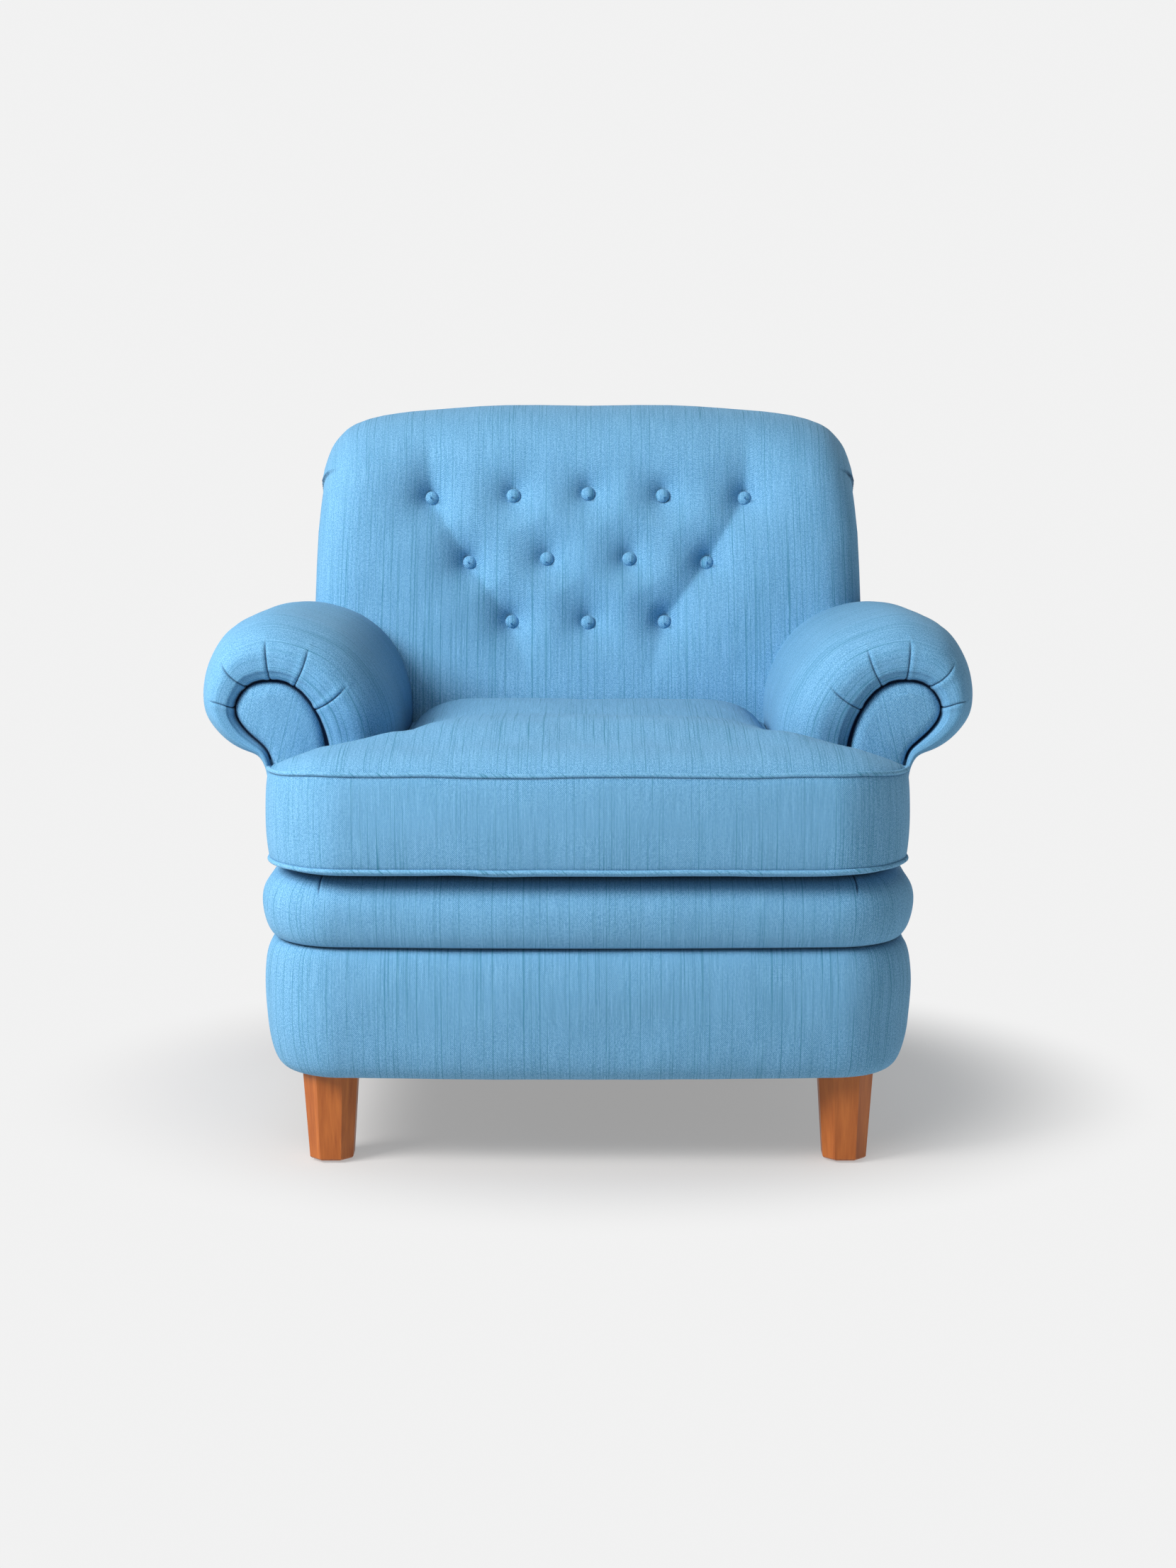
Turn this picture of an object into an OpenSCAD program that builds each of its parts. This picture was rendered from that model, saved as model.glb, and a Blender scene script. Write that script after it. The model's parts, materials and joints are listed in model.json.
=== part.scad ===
// Upholstered armchair: rolled arms, buttoned back, loose T-shaped seat cushion.
// Millimetres, +Z up, seat front towards -Y, origin on the floor under the middle.

/* [Legs] */
// Height of the frame underside above the floor
leg_h = 116; // [108:2:124]
// Width of a front leg where it meets the floor
leg_foot_w = 50; // [44:1:54]
// Width of a front leg at its top
leg_top_w = 64; // [58:1:68]
// Diameter of the hanger bolts that hold the legs
bolt_d = 8; // [6:1:10]

/* [Upholstery] */
// Thickness of the cover cloth with its wadding
cover_t = 2.6; // [2:0.1:3]
// Diameter of the covered buttons on the back
button_d = 18; // [14:1:22]
// Depth of the buttoned panel below the padded border
tuft_depth = 18; // [10:1:22]
// Diameter of the seat spring wire
wire_d = 4; // [3.4:0.2:4.6]

/* [Seat cushion] */
// Height of the cushion side wall between its two welts
boxing_h = 105; // [90:1:110]
// Rise of the cushion top above the upper welt
crown_h = 26; // [14:1:30]
// Diameter of the welt cord
piping_d = 7; // [5:0.5:7]

/* [Hidden] */
c_cloth = [0.62, 0.75, 0.82];
c_pipe = [0.56, 0.70, 0.78];
c_wood = [0.80, 0.58, 0.36];
c_frame = [0.86, 0.74, 0.55];
c_foam = [0.95, 0.92, 0.80];
c_steel = [0.62, 0.63, 0.65];
c_dark = [0.13, 0.13, 0.14];
c_jute = [0.72, 0.60, 0.42];
lift = leg_h - 116;
e = 0.2;

// ---- small helpers ----
function unit(v) = v / norm(v);
function total(v) = v * [for (q = v) 1];
function ring_area(p) = total([for (i = [0:len(p) - 1]) let (a = p[i], b = p[(i + 1) % len(p)]) a[0] * b[1] - b[0] * a[1]]) / 2;
// outline moved outwards by d (inwards when d is negative)
function grow(p, d) = let (n = len(p), s = ring_area(p) > 0 ? 1 : -1)
  [for (i = [0:n - 1]) let (a = p[(i + n - 1) % n], b = p[i], c = p[(i + 1) % n],
    n1 = s * unit([(b - a)[1], -(b - a)[0]]), n2 = s * unit([(c - b)[1], -(c - b)[0]]), m = unit(n1 + n2))
    b + m * d / (m * n1)];
// open path moved to its right-hand side by d
function shift_path(p, d) = let (n = len(p))
  [for (i = [0:n - 1]) let (a = p[max(i - 1, 0)], c = p[min(i + 1, n - 1)], t = unit(c - a)) p[i] + d * [t[1], -t[0]]];
function clamp01(v) = max(0, min(1, v));

module poly(pts, faces) {
  v = total([for (f = faces) pts[f[0]] * cross(pts[f[1]], pts[f[2]])]);
  polyhedron(pts, v > 0 ? [for (f = faces) [f[2], f[1], f[0]]] : faces, convexity = 10);
}
// closed solid between two equal grids of points
module slab(A, B) {
  m = len(A); n = len(A[0]); k = m * n;
  pts = concat([for (r = A) for (p = r) p], [for (r = B) for (p = r) p]);
  faces = concat(
    [for (i = [0:m - 2]) for (j = [0:n - 2]) each [[i * n + j, i * n + j + 1, i * n + n + j + 1], [i * n + j, i * n + n + j + 1, i * n + n + j]]],
    [for (i = [0:m - 2]) for (j = [0:n - 2]) each [[k + i * n + n + j + 1, k + i * n + j + 1, k + i * n + j], [k + i * n + n + j, k + i * n + n + j + 1, k + i * n + j]]],
    [for (j = [0:n - 2]) each [[k + j, j + 1, j], [k + j, k + j + 1, j + 1]]],
    [for (j = [0:n - 2], q = [(m - 1) * n]) each [[q + j, q + j + 1, k + q + j], [q + j + 1, k + q + j + 1, k + q + j]]],
    [for (i = [0:m - 2]) each [[i * n, i * n + n, k + i * n], [i * n + n, k + i * n + n, k + i * n]]],
    [for (i = [0:m - 2], q = [n - 1]) each [[k + i * n + q, i * n + n + q, i * n + q], [k + i * n + q, k + i * n + n + q, i * n + n + q]]]);
  poly(pts, faces);
}
// solid through convex rings
module loft(R) {
  n = len(R[0]); m = len(R);
  pts = [for (r = R) for (p = r) p];
  poly(pts, concat(
    [for (i = [0:m - 2]) for (j = [0:n - 1]) each [[i * n + j, i * n + (j + 1) % n, i * n + n + (j + 1) % n], [i * n + j, i * n + n + (j + 1) % n, i * n + n + j]]],
    [for (j = [1:n - 2]) [0, j + 1, j]],
    [for (j = [1:n - 2]) [(m - 1) * n, (m - 1) * n + j, (m - 1) * n + j + 1]]));
}
// round bar along a path that stays near one level
module tube(p, r, k, closed) {
  n = len(p); m = closed ? n : n - 1;
  pts = [for (i = [0:n - 1]) let (a = p[closed ? (i + n - 1) % n : max(i - 1, 0)], b = p[closed ? (i + 1) % n : min(i + 1, n - 1)], t = unit(b - a), s = unit(cross([0, 0, 1], t)), w = cross(t, s))
    for (j = [0:k - 1]) p[i] + r * (cos(360 * j / k) * s + sin(360 * j / k) * w)];
  poly(pts, concat(
    [for (i = [0:m - 1]) for (j = [0:k - 1]) let (q = (i + 1) % n) each [[i * k + j, i * k + (j + 1) % k, q * k + (j + 1) % k], [i * k + j, q * k + (j + 1) % k, q * k + j]]],
    closed ? [] : [for (j = [1:k - 2]) [0, j + 1, j]],
    closed ? [] : [for (j = [1:k - 2]) [(n - 1) * k, (n - 1) * k + j, (n - 1) * k + j + 1]]));
}
module up() translate([0, 0, lift]) children();
module box(x0, x1, y0, y1, z0, z1) translate([x0, y0, z0]) cube([x1 - x0, y1 - y0, z1 - z0]);
// outline in x,z pulled along y
module yext(p, y0, y1) translate([0, y1, 0]) rotate([90, 0, 0]) linear_extrude(y1 - y0) polygon(p);
// outline in y,z pulled along x
module xext(p, x0, x1) translate([x0, 0, 0]) rotate([90, 0, 90]) linear_extrude(x1 - x0) polygon(p);
module left() mirror([1, 0, 0]) children();

// ---- seat plan: bowed front, rounded front corners ----
function half_plan(hw, yf, r, yr) = concat(
  [for (i = [0:3]) [(hw - r) * i / 4, yf + 7 * (i / 4) * (i / 4)]],
  [for (i = [0:8]) [hw - r + r * sin(i * 11.25), yf + 7 + r - r * cos(i * 11.25)]],
  [for (i = [1:5]) [hw, yf + 7 + r + (yr - yf - 7 - r) * i / 5]]);
function plan(hw, yf, r, yr) = let (h = half_plan(hw, yf, r, yr))
  concat([for (i = [len(h) - 1:-1:1]) [-h[i][0], h[i][1]]], h);
function at_z(p, z) = [for (q = p) [q[0], q[1], z]];
// rear face of the chair and front face of the back posts, leaning 6 degrees
function y_rear(z) = 346 + 0.1075 * (z - 112);
function y_post(z) = y_rear(z) - 56;

// ---- frame ----
module rail_front() up() plate([[-315, -344], [-315, -358], [-287, -372], [287, -372], [315, -358], [315, -344]], 116, 245);
module rail_rear() up() box(-322, 322, 310, 338, 116, 245);
module side_rail() up() plate([[322, -338], [336, -338], [350, -309], [350, 289], [322, 289]], 116, 245);
leg_f = [297, -325];
leg_r = [290, 284];
module leg_bolt(p, d) translate([p[0], p[1], 70]) cylinder(d = d, h = 82, $fn = 32);
module leg_nut(p) translate([p[0], p[1], 116]) { cylinder(d = bolt_d + 14, h = 1.6, $fn = 32); cylinder(d = bolt_d + 3, h = 12, $fn = 32); }
module four() for (s = [0, 1]) mirror([s, 0, 0]) { children(0); children(1); }
module corner_blocks() color(c_frame) up() four() {
  difference() { box(262, 321.8, -343.8, -282, 116, 176); leg_nut(leg_f); leg_bolt(leg_f, bolt_d + 0.4); }
  difference() { box(262, 321.8, 250, 309.8, 116, 176); leg_nut(leg_r); leg_bolt(leg_r, bolt_d + 0.4); }
}
module t_nuts() color(c_steel) up() four() {
  difference() { leg_nut(leg_f); leg_bolt(leg_f, bolt_d + 0.1); }
  difference() { leg_nut(leg_r); leg_bolt(leg_r, bolt_d + 0.1); }
}
module hanger_bolts() color(c_steel) up() four() { leg_bolt(leg_f, bolt_d); leg_bolt(leg_r, bolt_d); }
post_shape = [[296, 245], [350, 245], [350, 462], [372, 468], [392, 476], [405, 490], [410, 508], [405, 526], [392, 540], [372, 546], [345, 544], [320, 532], [304, 512], [296, 488]];
module arm_post() color(c_frame) up() yext(post_shape, -212, -184);
module arm_rail() color(c_frame) up() box(303.8, 321.8, -184, 378, 470, 525);
module arm_tack_rail() color(c_frame) up() box(303.8, 321.8, -184, 362, 352, 382);
module back_post() color(c_frame) up() xext([[290, 116], [y_rear(116) - 6, 116], [y_rear(757) - 6, 757], [y_post(757), 757], [y_post(262), 262], [290, 250]], 322, 350);
module slope_rail(z0, z1, d) xext([[y_post(z0), z0], [y_post(z0) + d, z0], [y_post(z1) + d, z1], [y_post(z1), z1]], -321.8, 321.8);
module crest_rail() color(c_frame) up() slope_rail(722, 777, 32);
module back_lower_rail() color(c_frame) up() difference() {
  slope_rail(395, 440, 28);
  for (s = [0, 1]) mirror([s, 0, 0]) box(303, 323, 280, 400, 385, 450);
}
module back_webbing() color(c_jute) up() for (x = [-240:80:240])
  xext([[y_post(398) - 1.8, 398], [y_post(398) - 0.1, 398], [y_post(768) - 0.1, 768], [y_post(768) - 1.8, 768]], x - 25, x + 25);

// ---- seat springs ----
spring_x = [-190, -95, 0, 95, 190];
function wave(x0) = [for (k = [0:26]) let (s = k % 2 == 0 ? 1 : -1, y = -357 + 26 * k)
  each [for (q = k < 26 ? [[-16, 0], [16, 0], [24, 8], [24, 18]] : [[-16, 0], [16, 0]])
    [x0 + s * q[0], y + q[1], 249 + 13 * sin(180 * k / 26)]]];
module seat_springs() color(c_steel) up() for (x = spring_x) tube(wave(x), wire_d / 2, 6, false);
module spring_clips() color(c_dark) up() for (x = spring_x) for (y = [-357, 319])
  translate([x, y, 0]) difference() { box(-11, 11, -5.5, 5.5, 245, 254); box(-12, 12, -2.8, 2.8, 246.4, 251.8); }
module stem_gap() for (s = [0, 1]) mirror([s, 0, 0]) box(295.8, 350.2, -212.2, -183.8, 240, 350);
module plate(p, z0, z1) translate([0, 0, z0]) linear_extrude(z1 - z0) polygon(p);
module spring_cloth() color(c_jute) up() difference() {
  plate(plan(345, -388, 70, 300), 266, 267.4);
  stem_gap();
}
module platform_foam() color(c_foam) up() plate(plan(231, -344, 30, 298), 268.2, 341.2);
module deck_cloth() color(c_dark) up() difference() { plate(plan(299, -333, 20, 298), 342.4, 344); stem_gap(); }

// ---- base border and edge roll ----
base_prof = [[106, 345], [106.8, 352], [111.5, 359.6], [123, 365.6], [145, 369.8], [180, 372.4], [212, 373], [240, 370], [261.4, 364]];
base_in = [[108.6, 345], [109.2, 350.6], [114, 357], [125, 362.9], [146, 367.2], [180, 369.8], [212, 370.4], [240, 367.4], [261.4, 361.4]];
function base_ring(q, mx, yf) = at_z(plan(q[1], yf + mx - q[1], 95 - mx + q[1], y_rear(q[0]) - 3), q[0]);
module base_border_cover() color(c_cloth) up() difference() {
  slab([for (q = base_prof) base_ring(q, 373, -402)], [for (q = base_in) base_ring(q, 373, -402)]);
  box(-350.2, 350.2, 280, 400, 100, 300);
}
module base_padding() color(c_foam) up() difference() {
  slab([for (q = base_in) if (q[0] > 122) at_z(plan(q[1] - 0.4, -402 + 373.4 - q[1], 95 - 373.4 + q[1], 288), min(q[0], 261))],
    [for (q = base_in) if (q[0] > 122) at_z(plan(350.3, -372.3, 36, 288), min(q[0], 261))]);
  box(-315.3, 315.3, -372.3, -300, 115, 262);
  for (s = [0, 1]) mirror([s, 0, 0]) box(321.7, 350.3, -338.3, 300, 115, 262);
}
roll_prof = [[262, 364], [274, 370], [290, 373.4], [308, 374], [320, 371.5], [330, 365], [338, 352], [343, 334], [344.6, 300]];
roll_in = [[262, 361.4], [275, 367.4], [290, 370.8], [308, 371.4], [319, 369], [328, 362.8], [335.4, 350], [340.4, 333], [342, 300]];
module edge_roll_cover() color(c_cloth) up() difference() {
  slab([for (q = roll_prof) base_ring(q, 374, -408)], [for (q = roll_in) base_ring(q, 374, -408)]);
  stem_gap();
  box(-351, 351, 299, 400, 255, 350);
}
module edge_roll_foam() color(c_foam) up() difference() {
  slab([for (q = roll_in) at_z(plan(q[1] - 0.4, -408 + 374.4 - q[1], 95 - 374.4 + q[1], 298), max(268, min(q[0], 341.6)))],
    [for (q = roll_in) at_z(plan(231.4, -344.4, 30, 298), max(268, min(q[0], 341.6)))]);
  stem_gap();
}
module dust_cover() color(c_dark) up() difference() {
  plate(plan(344, -373, 66, 330), 114.2, 115.2);
  four() { leg_bolt(leg_f, bolt_d + 1); leg_bolt(leg_r, bolt_d + 1); }
}

// ---- arms (right-hand shapes) ----
arm_sec = [[232, 345.2], [232, 400], [233, 480], [239, 515], [253, 549], [276, 579], [306, 599], [340, 609], [374, 610], [404, 602], [430, 584], [447, 558], [455, 528], [452, 502], [440, 481], [420, 466], [398, 460], [385, 455], [378, 440], [376, 400], [374, 345.2]];
face_sec = [[306, 348], [306, 465], [309, 478], [313, 490], [320, 505], [328, 519], [337, 531], [348, 541], [362, 546], [376, 547], [390, 544], [401, 537], [410, 526], [414, 514], [413, 502], [407, 491], [398, 481], [386, 472], [375, 463], [369, 450], [367, 430], [366, 348]];
module arm_cover() color(c_cloth) up() difference() {
  yext(arm_sec, -232, 300);
  yext(grow(arm_sec, -cover_t), -214, 297.4);
  yext(face_sec, -233, -213);
  box(235, 371, -212.9, 297, 344, 348.2);
  box(366, 384, -213, 301, 344, 451.8);
  box(303.6, 322, 290, 301, 351.8, 382.2);
  box(303.6, 322, 290, 301, 469.8, 525.2);
}
module outside_arm() color(c_cloth) up() yext([[371, 345.4], [374, 345.4], [376, 400], [378, 440], [381, 451.6], [376, 451.6], [373, 440]], -212.8, 300);
module arm_foam() color(c_foam) up() difference() {
  yext(grow(arm_sec, -cover_t - 0.4), -212.7, 297);
  box(369.8, 384, -220, 301, 340, 451.8);
  yext(grow(post_shape, 0.2), -220, -183.8);
  box(303.6, 322, -190, 301, 351.8, 382.2);
  box(303.6, 322, -190, 301, 469.8, 525.2);
}
module facing_board() color(c_frame) up() yext(grow(face_sec, -4), -218.5, -212.9);
module arm_facing() color(c_cloth) up() difference() {
  yext(grow(face_sec, -0.8), -224.5, -213);
  yext(grow(face_sec, -3.9), -218.6, -212);
}

// ---- back ----
// front profile of the padded border, from the seat up over the crest and down behind
back_prof = [[112, 345.4], [112, 410], [110, 466], [112, 480], [128, 540], [146, 600], [162, 655], [176, 700], [191, 750], [205, 782], [224, 808], [250, 830], [285, 846], [328, 853], [365, 849], [395, 835], [410, 815], [y_rear(797) - 3, 797]];
back_x = [0, 40, 80, 120, 160, 185, 210, 235, 265, 290, 310, 325, 337, 346, 353, 357, 359];
function crest_z(x) = lookup(abs(x), [[0, 854], [150, 852], [230, 846], [290, 836], [318, 827], [340, 808], [352, 794], [359, 778]]);
function tuft(x, z) = tuft_depth * clamp01((250 + 0.66 * (z - 738) - abs(x)) / 34) * clamp01((800 - z) / 40) * clamp01((z - 505) / 40);
function side_round(x) = abs(x) < 300 ? 0 : 46 * (1 - sqrt(max(0, 1 - pow((abs(x) - 300) / 59.5, 2))));
// point of the back skin: q = profile point, x = place across, d = depth below the skin
function back_pt(q, x, d) = let (w = x * (1 - d / 359), top = crest_z(x) - d,
    z = q[1] <= 700 ? q[1] : 700 + (q[1] - 700) * (top - 700) / (853 - d - 700),
    y = min(q[0] + side_round(x) * clamp01((405 - q[0]) / 150) + tuft(x, q[1]), y_rear(z) - 3 - d))
  [w, y, z];
back_cols = concat([for (i = [len(back_x) - 1:-1:1]) -back_x[i]], back_x);
// last column of each side: down the rear edge, so the skin also closes the side
function side_pt(i, s, d) = let (z = 345.4 + 402 * i / (len(back_prof) - 1)) [s * (359 - d), y_rear(z) - 3, z];
function back_row(q, i, d) = concat([side_pt(i, -1, d)], [for (x = back_cols) back_pt(q, x, d)], [side_pt(i, 1, d)]);
module arm_gap(y1) for (s = [0, 1]) mirror([s, 0, 0]) yext(grow(arm_sec, 0.4), 0, y1);
module inside_back_cover() color(c_cloth) up() difference() {
  slab([for (i = [0:len(back_prof) - 1]) back_row(back_prof[i], i, 0)],
    [let (p = shift_path(back_prof, cover_t)) for (i = [0:len(p) - 1]) back_row([p[i][0], max(p[i][1], 345.4)], i, cover_t)]);
  arm_gap(300.4);
}
// rear side of the padding: up the webbing, over the crest rail, down behind it
foam_rear = concat([for (i = [0:12]) [-2.4, 345.8 + 36 * i]], [[-2.4, 802], [18, 802.6], [34, 802], [38, 797], [43, 795]]);
function foam_z(q, x) = q[1] <= 780 ? 345.8 + (q[1] - 345.8) * (abs(x) > 325 ? 0.94 : 1) : 700 + (q[1] - 700) * max((crest_z(x) - 700) / 153, 0.45);
module back_foam() color(c_foam) up() difference() {
  slab([for (q = shift_path(back_prof, cover_t + 0.4)) [for (x = back_cols) back_pt([q[0], max(q[1], 345.8)], x, cover_t + 0.4)]],
    [for (q = foam_rear) [for (x = back_cols) let (z = foam_z(q, x)) [x * (1 - 3 / 359), y_post(z) + q[0], z]]]);
  arm_gap(400);
  at_buttons() translate([0, 0, -2.4]) cylinder(d = button_d + 1, h = 9, $fn = 24);
}
module outside_back_cover() color(c_cloth) up() difference() {
  translate([0, y_rear(112) - 0.2, 112.6]) rotate([-6.136, 0, 0]) translate([0, -2.2, 0]) rotate([90, 0, 0]) mirror([0, 0, 1])
    linear_extrude(2.2) polygon(concat([[-371, 225], [-371, 60], [-369, 0], [369, 0], [371, 60], [371, 225], [358.6, 234]], [for (x = [358.6, 352, 340, 318, 290, 230]) [x, (586.8 + 97 * (crest_z(x) - 700) / 153) * 1.0057]], [for (x = [-230, -290, -318, -340, -352, -358.6]) [x, (586.8 + 97 * (crest_z(x) - 700) / 153) * 1.0057]], [[-358.6, 234]]));
  box(-400, 400, 300, 460, 90, 112.6);
}
button_rows = [[738, [0, 100, 206]], [655, [55, 156]], [577, [0, 100]]];
function row_y(z) = lookup(z, [for (q = back_prof) if (q[1] > 470 && q[0] < 330) [q[1], q[0]]]) + tuft_depth;
module at_buttons() for (r = button_rows) for (x = r[1]) for (s = x == 0 ? [1] : [-1, 1])
  translate([s * x, row_y(r[0]), r[0]]) rotate([90 - 16.7, 0, 0]) children();
module back_buttons() color(c_cloth) up() at_buttons() translate([0, 0, 0.4])
  rotate_extrude($fn = 48) polygon([[0, 0], [button_d / 2 - 1, 0], [button_d / 2, 1.5], [button_d / 2 - 0.6, 3], [button_d / 2 - 3, 5], [button_d / 2 - 6, 6], [0, 6.4]]);
module button_twines() color(c_jute) up() at_buttons() translate([0, 0, -70]) cylinder(d = 2, h = 70.2, $fn = 16);

// ---- legs ----
function oct(w, c) = [[w, c - w], [w, w - c], [w - c, w], [c - w, w], [-w, w - c], [-w, c - w], [c - w, -w], [w - c, -w]];
module leg_front() color(c_wood) difference() {
  translate([leg_f[0], leg_f[1], 0]) loft([at_z(oct(leg_foot_w / 2 - 1.5, 13), 3), at_z(oct(leg_foot_w / 2, 13), 5), at_z(oct(leg_top_w / 2, 17), leg_h - 2)]);
  up() leg_bolt(leg_f, bolt_d + 0.3);
}
module leg_rear() color(c_wood) difference() {
  loft([for (q = [[3, 22, 36], [5, 23, 36], [leg_h - 2, 27, 0]]) [for (s = [[1, 1], [-1, 1], [-1, -1], [1, -1]]) [leg_r[0] + s[0] * q[1], leg_r[1] + q[2] + s[1] * q[1], q[0]]]]);
  up() leg_bolt(leg_r, bolt_d + 0.3);
}
module leg_glides() color(c_dark) four() {
  translate([leg_f[0], leg_f[1], 0]) cylinder(d = 24, h = 3, $fn = 48);
  translate([leg_r[0], leg_r[1] + 36, 0]) cylinder(d = 24, h = 3, $fn = 48);
}

// ---- loose seat cushion ----
cush_z = 355;
cush_back = 100;
function front_y(x, hw, yf, r) = abs(x) <= hw - r ? yf + 6 * pow(x / (hw - r), 2) : yf + 6 + r - sqrt(max(0, r * r - pow(abs(x) - hw + r, 2)));
cush_u = [0, 60, 120, 175, 220, 262, 290, 312, 330, 344, 354, 360, 362];
function cush_cols() = concat([for (i = [len(cush_u) - 1:-1:1]) -cush_u[i]], cush_u);
// rows of the cushion plan: v 0 to 1 over the front, then 1 to 2 between the arms
cush_v = [0, 0.07, 0.2, 0.45, 0.75, 0.93, 1, 1.01, 1.08, 1.25, 1.5, 1.75, 1.93, 2];
function cush_pt(v, u, d) = v <= 1
  ? let (hw = 362 - d, x = u * hw / 362, f = front_y(x, hw, -417 + d, 96 - d)) [x, f + (-237 - d - f) * v]
  : let (hw = 226 - d) [u * hw / 362, -236.5 - d + (cush_back - d + 236.5 + d) * clamp01((v - 1.01) / 0.99)];
function puff(p, u) = (1 - pow(abs(u / 362), 4)) * (1 - pow(abs((p[1] + 160) / 262), 4));
module cush_body(d) slab(
  [for (v = cush_v) [for (u = cush_cols()) let (p = cush_pt(v, u, d)) [p[0], p[1], cush_z + boxing_h - d + crown_h * clamp01(puff(p, u))]]],
  [for (v = cush_v) [for (u = cush_cols()) let (p = cush_pt(v, u, d)) [p[0], p[1], cush_z + d - 8 * clamp01(puff(p, u))]]]);
module seat_cushion_core() color(c_foam) up() cush_body(3);
module seat_cushion_cover() color(c_cloth) up() difference() { cush_body(0); cush_body(cover_t); }
function welt_half(x0) = concat([for (i = [0:4]) let (x = 53 * i) [x, front_y(x, x0, -417, 96)]],
  [for (i = [0:7]) let (a = i * 90 / 7) [x0 - 96 + 96 * sin(a), -417 + 6 + 96 - 96 * cos(a)]],
  [[x0, -280], [x0 - 1, -242], [x0 - 5, -237.4], [x0 - 60, -237], [x0 - 128, -237], [x0 - 134.6, -234], [x0 - 136, -229], [x0 - 136, -120], [x0 - 136, 0], [x0 - 136, 92], [x0 - 138.4, 98], [x0 - 144, 100], [x0 - 250, 100]]);
function welt() = let (h = welt_half(362)) concat(h, [for (i = [len(h) - 1:-1:1]) [-h[i][0], h[i][1]]]);
module cushion_piping_top() color(c_pipe) up() tube(at_z(welt(), cush_z + boxing_h), piping_d / 2, 8, true);
module cushion_piping_bottom() color(c_pipe) up() tube(at_z(welt(), cush_z), piping_d / 2, 8, true);
zip_z = 405;
module cushion_zip() color(c_dark) up() {
  box(-205, 205, cush_back + 0.1, cush_back + 1.1, zip_z - 14, zip_z + 14);
  box(-205, 205, cush_back + 1.1, cush_back + 2.6, zip_z - 3, zip_z + 3);
}
module zip_slider() color(c_steel) up() translate([-188, cush_back, zip_z]) difference() {
  box(-7, 7, 1.5, 5, -5.5, 5.5);
  box(-8, 8, 1, 3, -3.5, 3.5);
}

color(c_frame) rail_front();  // front_rail
color(c_frame) rail_rear();  // rear_rail
color(c_frame) left() side_rail();  // side_rail_left
color(c_frame) side_rail();  // side_rail_right
corner_blocks();
t_nuts();
hanger_bolts();
left() arm_post();  // arm_post_left
arm_post();  // arm_post_right
left() arm_rail();  // arm_rail_left
arm_rail();  // arm_rail_right
left() arm_tack_rail();  // arm_tack_rail_left
arm_tack_rail();  // arm_tack_rail_right
left() back_post();  // back_post_left
back_post();  // back_post_right
crest_rail();
back_lower_rail();
back_webbing();
seat_springs();
spring_clips();
spring_cloth();
platform_foam();
deck_cloth();
edge_roll_foam();
edge_roll_cover();
base_padding();
base_border_cover();
left() arm_foam();  // arm_foam_left
arm_foam();  // arm_foam_right
left() arm_cover();  // arm_cover_left
arm_cover();  // arm_cover_right
left() facing_board();  // facing_board_left
facing_board();  // facing_board_right
left() arm_facing();  // arm_facing_left
arm_facing();  // arm_facing_right
left() outside_arm();  // outside_arm_left
outside_arm();  // outside_arm_right
back_foam();
inside_back_cover();
outside_back_cover();
back_buttons();
button_twines();
left() leg_front();  // leg_front_left
leg_front();  // leg_front_right
left() leg_rear();  // leg_rear_left
leg_rear();  // leg_rear_right
leg_glides();
dust_cover();
seat_cushion_core();
seat_cushion_cover();
cushion_piping_top();
cushion_piping_bottom();
cushion_zip();
zip_slider();
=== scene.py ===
import bpy, bmesh, json, math
import numpy as np
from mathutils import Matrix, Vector, geometry

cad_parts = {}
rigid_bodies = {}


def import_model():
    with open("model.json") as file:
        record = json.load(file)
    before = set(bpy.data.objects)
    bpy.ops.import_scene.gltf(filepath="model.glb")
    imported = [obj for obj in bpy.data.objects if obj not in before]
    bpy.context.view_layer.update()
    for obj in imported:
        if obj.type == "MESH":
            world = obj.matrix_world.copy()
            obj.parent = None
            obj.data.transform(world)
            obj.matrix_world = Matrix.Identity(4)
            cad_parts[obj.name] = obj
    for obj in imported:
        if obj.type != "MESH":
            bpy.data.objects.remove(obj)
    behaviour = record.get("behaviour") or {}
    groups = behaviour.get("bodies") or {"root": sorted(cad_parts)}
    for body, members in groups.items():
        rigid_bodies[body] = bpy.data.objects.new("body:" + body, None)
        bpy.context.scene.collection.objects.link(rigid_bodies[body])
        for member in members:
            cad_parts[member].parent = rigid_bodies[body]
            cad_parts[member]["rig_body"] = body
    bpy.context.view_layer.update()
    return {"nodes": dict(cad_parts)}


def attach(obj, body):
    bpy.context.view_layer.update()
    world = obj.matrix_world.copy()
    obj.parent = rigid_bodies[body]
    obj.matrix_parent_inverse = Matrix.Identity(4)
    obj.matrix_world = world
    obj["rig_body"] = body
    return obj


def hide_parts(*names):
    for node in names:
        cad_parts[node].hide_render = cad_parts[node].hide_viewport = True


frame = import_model()
MM = 0.001
rng = np.random.default_rng(7)

# ------------------------------------------------------------------ helpers


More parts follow.
